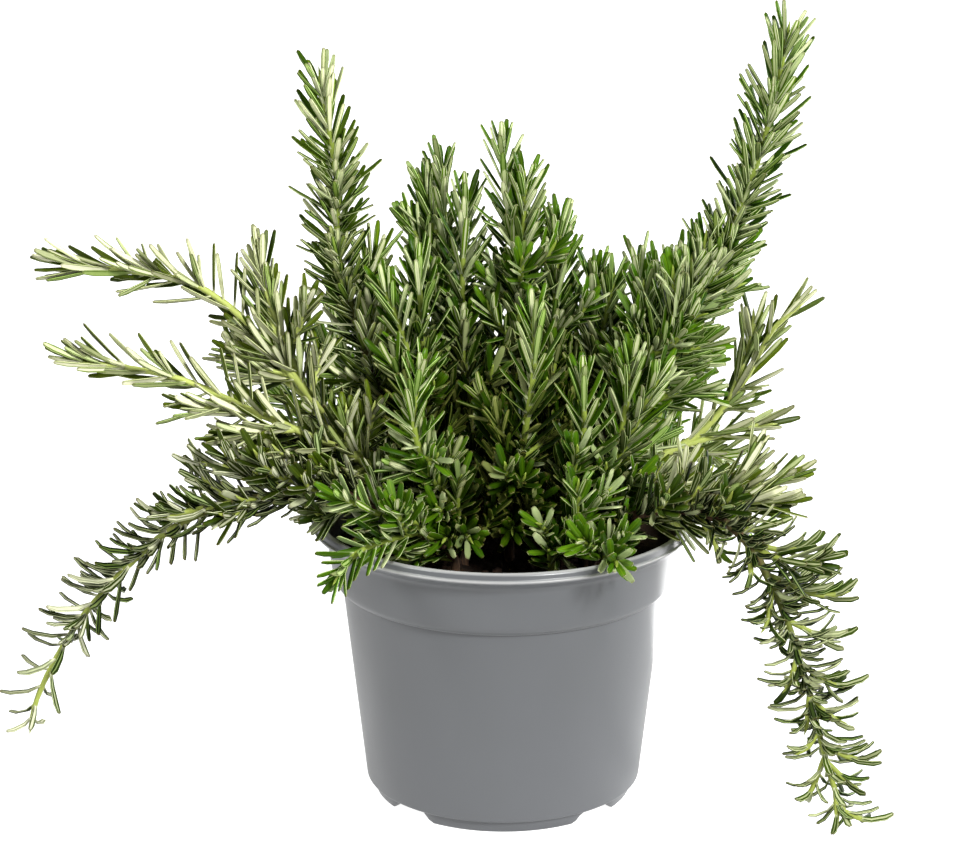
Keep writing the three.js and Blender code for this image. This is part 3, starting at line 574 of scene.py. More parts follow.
def needle_frames(needles, shares):
    """Places and directions of each needle at each share of its length, as arrays of needle, share, xyz."""
    root, first, last, across = (np.array([[*n[k]] for n in needles])[:, None] for k in range(4))
    length = np.array([n[4] for n in needles])[:, None, None]
    t = shares[None, :, None]
    place = root + length * (first * (t - t * t / 2) + last * (t * t / 2))
    along = first * (1 - t) + last * t
    along /= np.linalg.norm(along, axis=2, keepdims=True)
    wide = across - along * (across * along).sum(2, keepdims=True)
    wide /= np.linalg.norm(wide, axis=2, keepdims=True)
    return place, wide, np.cross(along, wide)


def needle_mesh(needles, widths):
    """Points, faces and ring coordinates of needles, each with a point at both ends."""
    place, wide, above = needle_frames(needles, RING_SHARES)
    half = (LEAF_HALF_WIDTH * widths[:, None] * RING_WIDTHS[None, :])[:, :, None, None]
    deep = (RING_WIDTHS[None, :, None, None]) ** 0.5
    rings = (
        place[:, :, None]
        + wide[:, :, None] * half * SECTION[None, None, :, :1]
        + above[:, :, None] * deep * SECTION[None, None, :, 1:]
    )
    ends = needle_frames(needles, np.array([0.0, 1.0]))[0]
    count = len(needles)
    points = np.concatenate([ends[:, :1], rings.reshape(count, -1, 3), ends[:, 1:]], 1)
    each = points.shape[1]
    j = np.arange(SECTION_SIDES)
    after = (j + 1) % SECTION_SIDES
    around, nearer, halfway = j / SECTION_SIDES, (j + 1) / SECTION_SIDES, (j + 0.5) / SECTION_SIDES
    corners, counts, places = [], [], []

    def faces(ids, at):
        corners.append(np.stack(ids, 1))
        counts.append(np.full(SECTION_SIDES, len(ids)))
        places.append(np.stack([np.stack([u, np.full(SECTION_SIDES, v)], 1) for u, v in at], 1))

    faces(
        (np.zeros_like(j), 1 + j, 1 + after),
        ((halfway, 0), (around, RING_SHARES[0]), (nearer, RING_SHARES[0])),
    )
    for k in range(len(RING_SHARES) - 1):
        low, high = 1 + k * SECTION_SIDES, 1 + (k + 1) * SECTION_SIDES
        below, over = RING_SHARES[k], RING_SHARES[k + 1]
        faces(
            (low + j, high + j, high + after, low + after),
            ((around, below), (around, over), (nearer, over), (nearer, below)),
        )
    last = 1 + (len(RING_SHARES) - 1) * SECTION_SIDES
    faces(
        (last + after, last + j, np.full_like(j, each - 1)),
        ((nearer, RING_SHARES[-1]), (around, RING_SHARES[-1]), (halfway, 1)),
    )
    one = np.concatenate([c.ravel() for c in corners])
    one_places = np.concatenate([p.reshape(-1, 2) for p in places])
    shift = (np.arange(count) * each)[:, None]
    return (
        points.reshape(-1, 3),
        (one[None] + shift).ravel(),
        np.tile(np.concatenate(counts), count),
        np.tile(one_places, (count, 1)),
        each,
        len(one),
    )


def wood_mesh(shoot, chance):
    """Rings along a shoot's wood, a little thicker where the needles leave it, ending in a point."""
    walk = shoot.walk
    steps = max(3, round(shoot.end / WOOD_STEP))
    stations = [i / steps * shoot.end for i in range(steps + 1)]
    stations += [shoot.end + mix(0, walk.length - shoot.end, share) for share, _ in WOOD_END]
    slimmer = (1, *(size for _, size in WOOD_END))
    angles = np.arange(WOOD_SIDES) * 2 * math.pi / WOOD_SIDES
    points, facts = [], []
    rough = seeded(shoot.seed + ROUGH_SEED)
    for i, s in enumerate(stations):
        point, along, side = walk.at(s)
        above = along.cross(side)
        past = max(0, i - steps)
        woody = smooth((WOODY_FOOT - s) / WOODY_ZONE) if shoot.rooted else 0
        age = max((shoot.end - s) / 100 * shoot.habit["aging"], WOODY_AGE * woody)
        bark = smooth((age - BARK_AT) / BARK_ZONE)
        radius = shoot.radius_at(min(s, shoot.end)) * slimmer[past]
        radius *= 1 + WOOD_UNEVEN * (rough() - 0.5) + (NODE_SWELL if i % 2 else 0)
        for angle in angles:
            reach = radius * (1 + bark * BARK_ROUGH * (rough() - 0.5))
            points.append(point + side * reach * math.cos(angle) + above * reach * math.sin(angle))
            facts.append((age, chance, 0))
    tip = walk.at(shoot.end + WOOD_POINT * (walk.length - shoot.end))[0]
    foot = walk.at(0)[0]
    first = len(points)
    points += [foot, tip]
    facts += [facts[0], facts[-1]]
    corners, counts, places, cells = [], [], [], []
    for i in range(len(stations) - 1):
        for j in range(WOOD_SIDES):
            k = (j + 1) % WOOD_SIDES
            lower, upper = i * WOOD_SIDES, (i + 1) * WOOD_SIDES
            corners += [lower + j, lower + k, upper + k, upper + j]
            counts.append(4)
            low, high = (i % WOOD_CELL) / WOOD_CELL, (i % WOOD_CELL + 1) / WOOD_CELL
            left, right = j / WOOD_SIDES, (j + 1) / WOOD_SIDES
            places += [(left, low), (right, low), (right, high), (left, high)]
            cells += [i // WOOD_CELL] * 4
    top = (len(stations) - 1) * WOOD_SIDES
    last_cell = (len(stations) - 2) // WOOD_CELL + 1
    for j in range(WOOD_SIDES):
        k = (j + 1) % WOOD_SIDES
        corners += [first, k, j, top + j, top + k, first + 1]
        counts += [3, 3]
        left, right = j / WOOD_SIDES, (j + 1) / WOOD_SIDES
        places += [((left + right) / 2, 0), (right, 0.4), (left, 0.4)]
        places += [(left, 0.6), (right, 0.6), ((left + right) / 2, 1)]
        cells += [last_cell] * 6
    return np.array(points), np.array(facts), np.array(corners), counts, places, cells, last_cell + 1


# Room for the needles


def soil_top(x, y):
    lump = math.sin(x * 0.13 + 1.1) * math.cos(y * 0.16 - 0.4) + 0.5 * math.sin(x * 0.31 - y * 0.27)
    return SOIL_Z + SOIL_LUMP * lump * smooth((SOIL_EDGE - math.hypot(x, y)) / 12)


def off_the_pot(place, keep):
    """Whether a place stays off the pot, the soil and the floor."""
    x, y, z = place
    r = math.hypot(x, y)
    inside = r + keep < BAND_FOOT_RADIUS - WALL and z - keep > soil_top(x, y)
    beside = z > keep and r - keep > (RIM_RADIUS if z + keep > BODY_TOP_Z else BODY_TOP_RADIUS)
    return inside or z - keep > POT_HEIGHT or beside


def is_clear(needle):
    places = needle_frames([needle], np.array(LEAF_TESTS))[0][0]
    return all(off_the_pot(place, LEAF_ROOM) for place in places)


def bent_clear(needle):
    """The needle, turned up more and more until it is clear of the pot, or nothing."""
    point, first, last, across, *rest = needle
    for lift in LEAF_LIFTS:
        lifted = (first + UP * lift * 0.5).normalized(), (last + UP * lift).normalized()
        turned = (point, *lifted, across, *rest)
        if is_clear(turned):
            return turned
    return None


def in_cells(places, cells, total):
    """Ring coordinates to places on one square map, each cell its own narrow tile."""
    tall, inset = 3.2, 0.07
    columns = math.ceil(math.sqrt(total * tall))
    rows = math.ceil(total / columns)
    u = (cells % columns + inset + (1 - 2 * inset) * places[:, 0]) / columns
    v = (cells // columns + inset + (1 - 2 * inset) * places[:, 1]) / rows
    return np.stack([u, v], 1)


def make_shoots():
    """Each stem's shoots: the main one, its side shoots and its twigs."""
    plants = []
    for i, stem in enumerate(STEMS):
        seed = STEM_STEP * (i + 1)
        main = main_shoot(stem, seed)
        sides = [side_shoot(main, side, stem.habit, seed + k) for k, side in enumerate(stem.sides, 1)]
        plants.append([main, *sides])
    wood = [[point for shoot in plant for point in wood_line(shoot)] for plant in plants]
    for i, plant in enumerate(plants):
        others = [point for k, line in enumerate(wood) if k != i for point in line]
        twigs = []
        for k, shoot in enumerate(plant):
            plain = SIDE_PLAIN if k else shoot.habit["plain"]
            twigs += twigs_of(shoot, plain, TWIG_SEED + STEM_STEP * i + SHOOT_STEP * k, others)
        plant += twigs
        wood[i] += [point for twig in twigs for point in wood_line(twig)]
    return plants


def share_past(value, limits):
    """How far a value lies from the first limit to the second, from 0 to 1, eased."""
    return smooth((limits[0] - value) / (limits[0] - limits[1]))


def depth_shade(root):
    """How deep in the bush a needle stands, from 0 to 1: the needles' material darkens it by this, painted
    shade that is partly older, darker needles too.
    """
    return share_past(math.hypot(root.x, root.y), INNER_RADII) * share_past(root.z, INNER_HEIGHTS)


def make_stem(stem, index, shoots, materials):
    """A leafy stem: its needles and the wood of its shoots in one mesh, with what its materials read."""
    needles = [n for shoot in shoots for n in map(bent_clear, needles_of(shoot)) if n]
    tint = seeded(TINT_SEED + index)
    widths = np.array([mix(*LEAF_WIDTHS, tint()) * (YOUNG_WIDTH if n[6] else 1) for n in needles])
    points, corners, counts, rings, each, loops = needle_mesh(needles, widths)
    # The third fact is youth, less how deep in the bush the needle stands, for painted shade.
    facts = np.repeat(np.array([(n[5] / 100, tint(), n[6] - depth_shade(n[0])) for n in needles]), each, 0)
    cells = np.repeat(np.arange(len(needles)), loops)
    meshes = [(points, facts, corners, counts, rings, cells, np.zeros(len(counts)))]
    used, start = len(needles), len(points)
    for shoot in shoots:
        points, facts, corners, counts, rings, cells, taken = wood_mesh(shoot, tint())
        wooden = np.ones(len(counts))
        meshes.append((points, facts, corners + start, counts, rings, np.array(cells) + used, wooden))
        start += len(points)
        used += taken
    points, facts, corners, counts, rings, cells, slots = map(np.concatenate, zip(*meshes))
    piece = build("spray_" + stem.name, points, corners, counts, slots, materials)
    add_map(piece, "OFBake", in_cells(rings, cells, used))
    add_map(piece, "ring", rings)
    add_facts(piece, facts)
    piece.data.set_sharp_from_angle(angle=math.radians(STEM_SHARP))
    return piece


# Materials


def linear(colour):
    """A #rrggbb colour as linear numbers."""
    parts = [int(colour[i : i + 2], 16) / 255 for i in (1, 3, 5)]
    return [p / 12.92 if p <= 0.04045 else ((p + 0.055) / 1.055) ** 2.4 for p in parts] + [1]


class Nodes:
    """A material's node tree with short calls. Each call returns the node's first output."""

    def __init__(self, name, roughness, specular):
        self.material = bpy.data.materials.new(name)
        self.material.use_nodes = True
        self.tree = self.material.node_tree
        self.shader = self.tree.nodes["Principled BSDF"]
        self.set("Roughness", roughness)
        self.set("Specular IOR Level", specular)

    def node(self, kind, inputs=(), **settings):
        node = self.tree.nodes.new("ShaderNode" + kind)
        for key, value in settings.items():
            setattr(node, key, value)
        for key, value in dict(inputs).items():
            self.put(node.inputs[key], value)
        return node

    def put(self, socket, value):
        if isinstance(value, bpy.types.NodeSocket):
            self.tree.links.new(value, socket)
        elif isinstance(value, str):
            socket.default_value = linear(value)
        else:
            socket.default_value = value

    def set(self, name, value):
        self.put(self.shader.inputs[name], value)

    def maths(self, operation, *values):
        return self.node("Math", dict(enumerate(values)), operation=operation).outputs[0]

    def ramp(self, share, stops):
        node = self.node("ValToRGB", {0: share})
        elements = node.color_ramp.elements
        while len(elements) < len(stops):
            elements.new(0.5)
        for element, (place, value) in zip(elements, stops):
            element.position = place
            element.color = linear(value) if isinstance(value, str) else (value, value, value, 1)
        return node.outputs[0]

    def blend(self, share, a, b, mode="MIX"):
        node = self.node("Mix", {0: share, 6: a, 7: b}, data_type="RGBA", blend_type=mode)
        return node.outputs[2]

    def noise(self, scale, detail, roughness=0.55, vector=None):
        vector = vector or self.node("TexCoord").outputs["Object"]
        inputs = {"Vector": vector, "Scale": scale, "Detail": detail, "Roughness": roughness}
        return self.node("TexNoise", inputs).outputs[0]

    def bump(self, height, distance, strength):
        node = self.node("Bump", {"Height": height, "Distance": distance, "Strength": strength})
        self.put(self.shader.inputs["Normal"], node.outputs[0])


def growth(nodes):
    """Age, chance and youth, less how deep in the bush for painted shade, as make_stem and wood_mesh write
    them.
    """
    vector = nodes.node("Attribute", attribute_name="growth").outputs["Vector"]
    return nodes.node("SeparateXYZ", {0: vector}).outputs


def leaf_material(name, felted, top, felt, margin, line):
    """Needles: glossy top, felted underside between rolled margins, a painted highlight as a pale line along
    each edge and as a lighter green along the top groove, a painted highlight on a few needles picked by
    chance, and painted shade deep in the bush, where the needles are also older and darker. Each of top,
    felt, margin and line is a colour for a young and for an old needle; line is the colour of the painted
    highlight, also used for the paler foot of each needle."""
    nodes = Nodes(name, 0.34, 0.08)
    above, chance, young = growth(nodes)
    ring = nodes.node("SeparateXYZ", {0: nodes.node("UVMap", uv_map="ring").outputs[0]}).outputs
    from_rib = nodes.maths("ABSOLUTE", nodes.maths("SUBTRACT", ring[0], 0.5))
    rolled = nodes.maths("FRACT", nodes.maths("MULTIPLY", chance, 13))
    rolled = nodes.maths("MULTIPLY", rolled, nodes.ramp(from_rib, [(0.1, 0.095), (0.22, 0)]))
    across = nodes.maths("ADD", from_rib, rolled)
    looks = []
    for age in (0, 1):
        # Across the needle from the midrib below: midrib, felt, rolled margin, a pale line by each edge that
        # is a painted highlight, the top, and a lighter green along the top groove that is a painted
        # highlight.
        bands = [
            (0, margin[age]), (0.02, felt[age]), (felted, felt[age]), (felted + 0.04, margin[age]),
            (0.225, margin[age]), (0.24, line[age]), (0.258, line[age]), (0.275, top[age]),
            (0.46, top[age]), (0.49, margin[age]),
        ]
        looks.append(nodes.ramp(across, bands))
    age = nodes.maths("MULTIPLY", above, 2)
    age = nodes.maths("ADD", age, nodes.maths("MULTIPLY", nodes.maths("SUBTRACT", chance, 0.5), 0.9))
    age = nodes.maths("SUBTRACT", age, nodes.maths("MULTIPLY", young, 0.3))
    colour = nodes.blend(nodes.node("Clamp", {0: age}).outputs[0], *looks)
    colour = nodes.blend(nodes.ramp(chance, [(0.6, 0), (1, 0.8)]), colour, "#ccf490", "MULTIPLY")
    shade = nodes.maths("FRACT", nodes.maths("MULTIPLY", chance, 7))
    colour = nodes.blend(nodes.ramp(shade, [(0.5, 0), (1, 0.75)]), colour, "#8c9070", "MULTIPLY")
    # Painted highlight: a few needles, picked by chance, are made paler towards the line colour.
    colour = nodes.blend(nodes.ramp(shade, [(0.05, 0.4), (0.2, 0)]), colour, line[0])
    # Painted shade deep in the bush, partly also the older, darker needles there: the deeper, the darker.
    inner = nodes.node("Clamp", {0: nodes.maths("MULTIPLY", young, -1)}).outputs[0]
    colour = nodes.blend(inner, colour, "#9c9c68", "MULTIPLY")
    patchy = nodes.noise(420, 2)
    colour = nodes.blend(nodes.maths("MULTIPLY", patchy, 0.3), colour, margin[1])
    base = nodes.ramp(ring[1], [(0.02, 0.75), (0.2, 0)])
    colour = nodes.blend(base, colour, line[0])
    tip = nodes.ramp(ring[1], [(0.93, 0), (0.995, 0.6)])
    colour = nodes.blend(tip, colour, "#4a3c1c")
    nodes.set("Base Color", colour)
    nodes.set("Roughness", nodes.ramp(from_rib, [(felted, 0.85), (0.22, 0.42), (0.4, 0.3)]))
    return nodes.material


def wood_material(name, sprout, stem, bark, deep):
    """Stems: pale green and downy at the tip, browner and cracked towards the foot."""
    nodes = Nodes(name, 0.6, 0.35)
    above = growth(nodes)[0]
    vector = nodes.node("TexCoord").outputs["Object"]
    streak = nodes.node("Mapping", {"Vector": vector, "Scale": (1, 1, 0.22)}).outputs[0]
    grain = nodes.noise(900, 4, 0.6, streak)
    colour = nodes.blend(nodes.ramp(above, [(0.05, 0), (0.6, 1)]), sprout, stem)
    old = nodes.maths("ADD", above, nodes.maths("MULTIPLY", nodes.maths("SUBTRACT", grain, 0.5), 0.6))
    woody = nodes.blend(nodes.ramp(grain, [(0.35, 0), (0.65, 1)]), deep, bark)
    colour = nodes.blend(nodes.ramp(old, [(0.62, 0), (0.98, 1)]), colour, woody)
    nodes.set("Base Color", colour)
    nodes.set("Roughness", nodes.ramp(old, [(0.3, 0.55), (0.9, 0.85)]))
    nodes.bump(grain, 0.0004, 0.6)
    return nodes.material


# The looks of leafy stems. felted: how far the felt reaches from the midrib. The needles' colours come as
# young and old; line is the pale colour of the painted highlight along each edge, also used at a needle's
# foot. wood: the colours of a sprout, a stem, its bark and the bark's cracks.
LOOKS = {
    "rosemary": dict(
        felted=0.13, top=("#4e7410", "#223a06"), felt=("#eef4c0", "#90a450"),
        margin=("#6a8c14", "#304a0a"), line=("#fafecc", "#e4f0ac"),
        wood=("#8c9e3c", "#687828", "#5f4630", "#32241a"),
    ),
    "rosemary_bright": dict(
        felted=0.15, top=("#526c10", "#26360a"), felt=("#fcfcd0", "#b8c46c"),
        margin=("#749216", "#36500c"), line=("#fcfed0", "#ecf6b8"),
        wood=("#8c9e3c", "#687828", "#5f4630", "#32241a"),
    ),
    "rosemary_olive": dict(
        felted=0.1, top=("#36450b", "#141a05"), felt=("#eceece", "#7c8456"),
        margin=("#485810", "#1a240a"), line=("#f2f4cc", "#bcc494"),
        wood=("#98a448", "#707a30", "#5f4630", "#32241a"),
    ),
    "rosemary_deep": dict(
        felted=0.09, top=("#34480c", "#141e05"), felt=("#c8d09c", "#58663a"),
        margin=("#445a10", "#1a260a"), line=("#e4eab4", "#a8b27c"),
        wood=("#8e9a40", "#68722c", "#5f4630", "#32241a"),
    ),
    "rosemary_pale": dict(
        felted=0.16, top=("#526214", "#1e260a"), felt=("#f4f4d0", "#b8bc82"),
        margin=("#6e8420", "#2a360c"), line=("#f4f6c4", "#d4da9c"),
        wood=("#b8c468", "#9ca650", "#7d6040", "#4a3826"),
    ),
}


def look_materials(name):
    """The needles' material and the wood's."""
    look = dict(LOOKS[name])
    wood = look.pop("wood")
    return [leaf_material(name + "_leaf", **look), wood_material(name + "_stem", *wood)]


def pot_material():
    """Moulded grey plastic: faint flow marks, and painted highlights as paler lines at the step from body to
    band, along the rim's bead and along the rim's top edge.
    """
    nodes = Nodes("grey_plastic", 0.28, 0.5)
    vector = nodes.node("TexCoord").outputs["Object"]
    cloud = nodes.noise(14, 3)
    upright = nodes.node("Mapping", {"Vector": vector, "Scale": (1, 1, 0.3)}).outputs[0]
    flow = nodes.noise(60, 4, 0.6, upright)
    colour = nodes.blend(nodes.ramp(cloud, [(0.3, 0), (0.7, 1)]), "#545658", "#57595c")
    colour = nodes.blend(nodes.ramp(flow, [(0.45, 0), (0.8, 0.2)]), colour, "#5b5d60")
    height = nodes.maths("MULTIPLY", nodes.node("SeparateXYZ", {0: vector}).outputs[2], 10)
    # Painted highlights: paler lines at the step from body to band, along the rim's bead and along its top
    # edge, by height.
    highlight_heights = [
        (BODY_TOP_Z - 0.2, 0), (BODY_TOP_Z + 0.2, 0.2), (BODY_TOP_Z + 0.8, 0), (LIP_Z, 0),
        (LIP_Z + 0.5, 0.5), (LIP_Z + 0.9, 0.5), (LIP_Z + 1.3, 0), (POT_HEIGHT - 0.5, 0),
        (POT_HEIGHT - 0.15, 0.7),
    ]
    painted_highlight = nodes.ramp(height, [(z / 100, share) for z, share in highlight_heights])
    colour = nodes.blend(painted_highlight, colour, "#c4c4c2")
    nodes.set("Base Color", colour)
    nodes.set("Roughness", nodes.ramp(nodes.noise(90, 4), [(0.2, 0.3), (0.8, 0.33)]))
    nodes.bump(nodes.noise(1100, 2), 0.00002, 0.15)
    return nodes.material


def peat_material(name="peat", dark="#120c07", mid="#2a1c10", light="#4d3822"):
    nodes = Nodes(name, 0.95, 0.2)
    coarse, fine = nodes.noise(160, 6, 0.7), nodes.noise(900, 4, 0.7)
    colour = nodes.blend(nodes.ramp(coarse, [(0.35, 0), (0.62, 1)]), dark, mid)
    colour = nodes.blend(nodes.ramp(fine, [(0.58, 0), (0.75, 0.8)]), colour, light)
    nodes.set("Base Color", colour)
    nodes.set("Roughness", nodes.ramp(fine, [(0.3, 0.85), (0.7, 1)]))
    nodes.bump(nodes.blend(0.5, coarse, fine), 0.0012, 0.8)
    return nodes.material


def bark_material():
    nodes = Nodes("bark_bits", 0.8, 0.3)
    grain = nodes.noise(700, 5, 0.65)
    nodes.set("Base Color", nodes.blend(nodes.ramp(grain, [(0.35, 0), (0.68, 1)]), "#3a1d0c", "#9a5a28"))
    nodes.set("Roughness", nodes.ramp(grain, [(0.3, 0.7), (0.7, 0.9)]))
    nodes.bump(grain, 0.0005, 0.7)
    return nodes.material


# Pot


def rounded(profile, steps=4):
    """The profile with each corner [r, z, size] rounded over size mm."""
    out = []
    for i, (r, z, size) in enumerate(profile):
        here = Vector((r, z))
        if not size or i in (0, len(profile) - 1):
            out.append((r, z))
            continue
        before, after = Vector(profile[i - 1][:2]), Vector(profile[i + 1][:2])
        a = here + (before - here).normalized() * min(size, (before - here).length * 0.45)
        b = here + (after - here).normalized() * min(size, (after - here).length * 0.45)
        for k in range(steps + 1):
            t = k / steps
            out.append(tuple(a.lerp(here, t).lerp(here.lerp(b, t), t)))
    return out


def body_radius(z):
    return mix(BODY_FOOT_RADIUS, BODY_TOP_RADIUS, (z - BODY_FOOT_Z) / (BODY_TOP_Z - BODY_FOOT_Z))


def turned_piece(name, profile, sides, material, shape=None):
    """A closed lathe around +Z of (radius, height) points that starts and ends on the axis."""
    rings = [p for p in profile if p[0] > 0]
    points = [(0, 0, profile[0][1]), (0, 0, profile[-1][1])]
    for r, z in rings:
        for j in range(sides):
            angle = 2 * math.pi * j / sides
            points.append((r * math.cos(angle), r * math.sin(angle), shape(r, z, angle) if shape else z))
    corners, counts = [], []
    for j in range(sides):
        k = (j + 1) % sides
        corners += [0, 2 + k, 2 + j]
        counts.append(3)
        for i in range(len(rings) - 1):
            low, high = 2 + i * sides, 2 + (i + 1) * sides
            corners += [low + j, low + k, high + k, high + j]
            counts.append(4)
        top = 2 + (len(rings) - 1) * sides
        corners += [top + j, top + k, 1]
        counts.append(3)
    return build(name, points, corners, counts, np.zeros(len(counts)), [material])


def foot_height(r, z, angle):
    """The height of a point of the pot's foot ring, which the four notches lift."""
    if not (FOOT_RADIUS - FOOT_RING - 0.5 < r < FOOT_RADIUS + 1.3 and z < NOTCH_HEIGHT):
        return z
    off = abs((math.degrees(angle) % 90) - 45)
    share = min(max((NOTCH_WIDE / 2 - off) / (NOTCH_WIDE / 2 - NOTCH_NARROW / 2), 0), 1)
    return max(z, share * NOTCH_HEIGHT)


def cut_out(piece, cutters):
    for cutter in cutters:
        change = piece.modifiers.new("cut", "BOOLEAN")
        change.operation, change.solver, change.object = "DIFFERENCE", "EXACT", cutter
    bpy.context.view_layer.update()
    whole = bpy.data.meshes.new_from_object(piece.evaluated_get(bpy.context.evaluated_depsgraph_get()))
    piece.modifiers.clear()
    piece.data = whole
    for cutter in cutters:
        bpy.data.objects.remove(cutter)


def make_pot():
    inner = FOOT_RADIUS - FOOT_RING
    foot = [
        (0, 0, 0), (PAD_RADIUS, 0, 0.6), (PAD_RADIUS + 0.6, FLOOR_Z, 0.6), (inner - 0.4, FLOOR_Z, 0.8),
        (inner, 0, 0.5), (FOOT_RADIUS, 0, 0.6), (FOOT_RADIUS + 1.2, BODY_FOOT_Z - 0.3, 0.2),
    ]
    outside = [
        (BODY_FOOT_RADIUS, BODY_FOOT_Z, 0.8), (BODY_TOP_RADIUS, BODY_TOP_Z, 0.3),
        (BODY_TOP_RADIUS + 1, BODY_TOP_Z + 0.2, 0.3), (BAND_FOOT_RADIUS - 0.5, BODY_TOP_Z + 2, 1.2),
        (BAND_FOOT_RADIUS + 0.2, BAND_FOOT_Z, 2.5), (BAND_RADIUS + 0.3, LIP_Z - 3.2, 1.8),
    ]
    rim = [
        (RIM_RADIUS - 0.4, LIP_Z - 0.1, 0.4), (RIM_RADIUS, LIP_Z + 0.8, 0.4),
        (RIM_RADIUS - 0.8, LIP_Z + 1.1, 0.3), (RIM_RADIUS - 1.2, POT_HEIGHT - 0.5, 0.4),
        (RIM_RADIUS - 1.8, POT_HEIGHT, 0.4), (RIM_INNER_RADIUS + 0.3, POT_HEIGHT, 0.5),
        (RIM_INNER_RADIUS - 0.8, POT_HEIGHT - 1.4, 0.8),
    ]
    inside = [
        (BAND_RADIUS - WALL, LIP_Z - 1.8, 2), (BAND_FOOT_RADIUS - WALL, BAND_FOOT_Z - 0.4, 2),
        (BODY_TOP_RADIUS - WALL, BODY_TOP_Z - 0.6, 1),
        (body_radius(FLOOR_Z + FLOOR) - WALL, FLOOR_Z + FLOOR, 1), (0, FLOOR_Z + FLOOR, 0),
    ]
    profile = rounded([*foot, *outside, *rim, *inside])
    pot = turned_piece("grower_pot", profile, POT_SIDES, pot_material(), foot_height)
    drills = []
    for i in range(DRAIN_HOLES):
        size = {"radius": DRAIN_RADIUS * MM, "depth": DRILL_LENGTH * MM}
        bpy.ops.mesh.primitive_cylinder_add(vertices=DRILL_SIDES, **size)
        drill = bpy.context.object
        angle = 2 * math.pi * i / DRAIN_HOLES
        drill.location = (DRAIN_RING * MM * math.cos(angle), DRAIN_RING * MM * math.sin(angle), 0)
        drills.append(drill)
    cut_out(pot, drills)
    pot.data.shade_smooth()
    pot.data.set_sharp_from_angle(angle=math.radians(POT_SHARP))
    finish_piece(pot, "pot", "pot")


# Soil


def crumbly(x, y):
    """The height of the loose soil at a place, in mm."""
    edge = smooth((SOIL_EDGE - 0.5 - math.hypot(x, y)) / 4)
    waves = noise.fractal(Vector((x * 0.16, y * 0.16, 3.7)), 0.9, 2.1, 4)
    clods = noise.cell(Vector((x * 0.3, y * 0.3, 1))) - 0.5
    return soil_top(x, y) + edge * (1.1 * waves + 0.5 * clods)


def make_soil():
    edge = [
        (SOIL_FOOT_RADIUS, SOIL_FOOT_Z), (BODY_TOP_RADIUS - WALL - 0.4, BODY_TOP_Z - 0.6),
        (BAND_FOOT_RADIUS - WALL - 0.5, BAND_FOOT_Z),
    ]
    top = [(SOIL_EDGE * (1 - (i / SOIL_RINGS)), SOIL_Z) for i in range(SOIL_RINGS)]
    profile = [(0, SOIL_FOOT_Z), *edge, *top, (0, SOIL_Z)]
    soil = turned_piece("peat", profile, SOIL_SIDES, peat_material())
    places = np.empty(len(soil.data.vertices) * 3, np.float32)
    soil.data.vertices.foreach_get("co", places)
    places = places.reshape(-1, 3)
    for place in places:
        if place[2] > (SOIL_Z - 0.01) * MM:
            place[2] = crumbly(place[0] / MM, place[1] / MM) * MM
    soil.data.vertices.foreach_set("co", places.ravel())
    soil.data.update()
    finish_piece(soil, "soil", "soil")


def lumps(name, count, sizes, flat, material, seed):
    """Loose bits on the soil: uneven lumps, sunk in a little."""
    random = seeded(seed)
    form = bmesh.new()
    for _ in range(count):
        angle, far = 2 * math.pi * random(), (SOIL_EDGE - LUMP_EDGE) * math.sqrt(random())
        x, y = far * math.cos(angle), far * math.sin(angle)
        size = mix(*sizes, random() ** 2)
        made = bmesh.ops.create_icosphere(form, subdivisions=2, radius=1)["verts"]
        stretch = Vector((size, size * mix(0.5, 0.9, random()), size * flat))
        spin = Matrix.Rotation(2 * math.pi * random(), 3, "Z")
        spin = spin @ Matrix.Rotation(mix(-0.5, 0.5, random()), 3, "X")
        shift = Vector([50 * random() for _ in range(3)])
        rest = Vector((x, y, crumbly(x, y) + LUMP_RISE * size * flat))
        for vertex in made:
            rough = 1 + 0.45 * noise.noise(vertex.co * 1.4 + shift)
            place = spin @ Vector(a * b for a, b in zip(vertex.co * rough, stretch))
            vertex.co = (place + rest) * MM
    mesh = bpy.data.meshes.new(name)
    form.to_mesh(mesh)
    form.free()
    mesh.materials.append(material)
    mesh.shade_smooth()
    finish_piece(placed(name, mesh), "soil")


# Light, floor and camera


def lamp(name, kind, place, target, **settings):
    """A light at a place, turned to a target."""
    light = bpy.data.lights.new(name, kind)
    for key, value in settings.items():
        setattr(light, key, value)
    thing = placed(name, light)
    thing.location = place
    thing.rotation_euler = (Vector(target) - Vector(place)).to_track_quat("-Z", "Y").to_euler()


def square(name, size, place, material):
    bpy.ops.mesh.primitive_plane_add(size=size, location=place)
    plane = bpy.context.object
    plane.name = name
    plane.data.materials.append(material)
    return plane


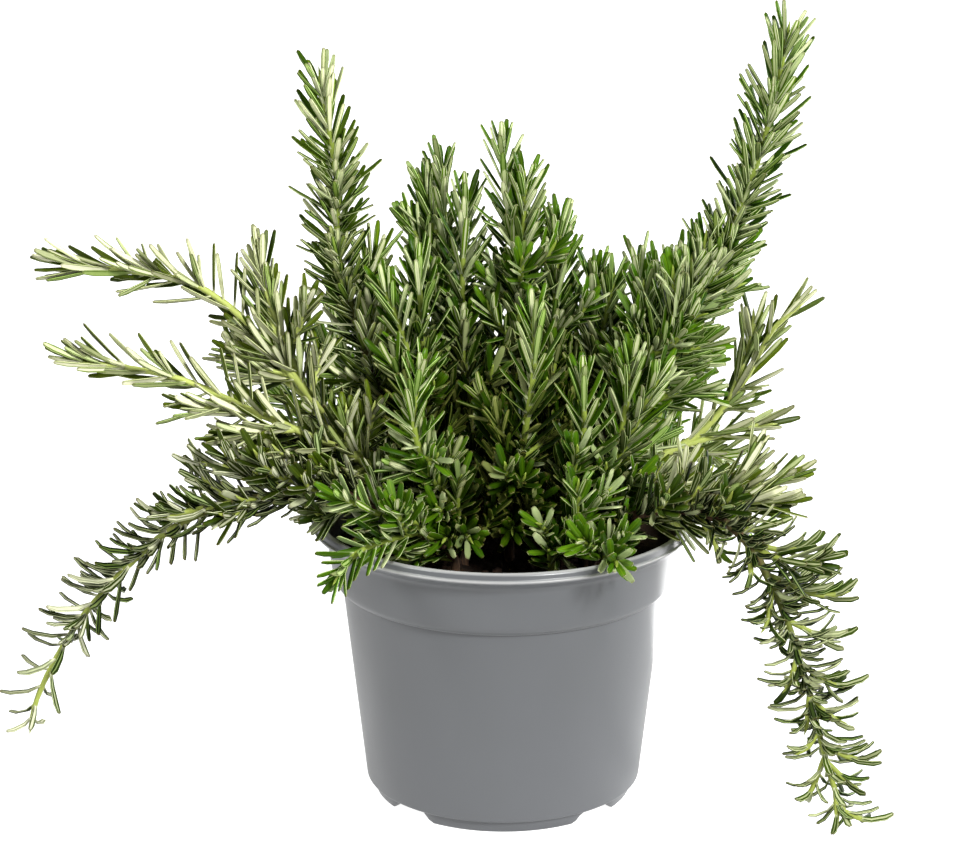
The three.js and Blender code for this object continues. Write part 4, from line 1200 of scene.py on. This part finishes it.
def make_studio():
    world = bpy.data.worlds.new("studio")
    bpy.context.scene.world = world
    world.use_nodes = True
    tree = world.node_tree
    background = tree.nodes["Background"]
    background.inputs["Color"].default_value = (1, 1, 1, 1)
    sight = tree.nodes.new("ShaderNodeLightPath")
    level = tree.nodes.new("ShaderNodeMapRange")
    level.inputs["To Min"].default_value = AMBIENT
    tree.links.new(sight.outputs["Is Camera Ray"], level.inputs["Value"])
    tree.links.new(level.outputs[0], background.inputs["Strength"])
    lamp("key", "SUN", (0.6, -0.9, 0.8), (0, 0, 0), angle=math.radians(14), energy=4.4)
    lamp("left", "SUN", (-1, -0.4, 0.9), (0, 0, 0), angle=math.radians(24), energy=2.5)
    lamp("rim", "AREA", (0.9, 0.45, 0.3), LIGHT_TARGET, shape="DISK", size=0.8, energy=15)
    white = Nodes("floor_white", 0.9, 0.1)
    white.set("Base Color", white.blend(white.noise(3, 2), "#a6a6a6", "#aaaaaa"))
    white.set("Emission Color", "#ffffff")
    seen = white.node("LightPath").outputs["Is Camera Ray"]
    white.set("Emission Strength", white.ramp(seen, [(0, FLOOR_GLOW), (1, 1)]))
    floor = square("studio_floor", FLOOR_SIZE, (0, 0, 0), white.material)
    glow = Nodes("reflector_white", 0.9, 0)
    glow.set("Emission Color", "#ffffff")
    glow.set("Emission Strength", CARD_GLOW)
    card = square("studio_reflector", CARD_SIZE, CARD_PLACE, glow.material)
    card.visible_camera = card.visible_diffuse = card.visible_shadow = False
    camera = placed("camera", bpy.data.cameras.new("camera"))
    camera.location = CAMERA_PLACE
    camera.rotation_euler = (math.radians(90 - CAMERA_PITCH), 0, math.radians(CAMERA_YAW))
    camera.data.lens = CAMERA_LENS
    camera.data.sensor_width = CAMERA_SENSOR
    camera.data.clip_start, camera.data.clip_end = CAMERA_REACH
    bpy.context.scene.camera = camera
    bpy.context.scene.view_settings.view_transform = "Standard"


make_studio()
make_pot()
make_soil()
crumb_peat = peat_material("peat_crumbs", "#1a110a", "#33231a", "#5a4430")
lumps("peat_crumbs", count=240, sizes=(0.7, 2.6), flat=0.75, material=crumb_peat, seed=41)
lumps("bark_bits", count=26, sizes=(1.2, 4.2), flat=0.32, material=bark_material(), seed=42)

stem_looks = {name: look_materials(name) for name in LOOKS}
for i, (stem, shoots) in enumerate(zip(STEMS, make_shoots())):
    piece = make_stem(stem, i, shoots, stem_looks[stem.look])
    slot = "rosemary_pale" if stem.look == "rosemary_pale" else "rosemary"
    finish_piece(piece, slot, "stem_" + stem.name)
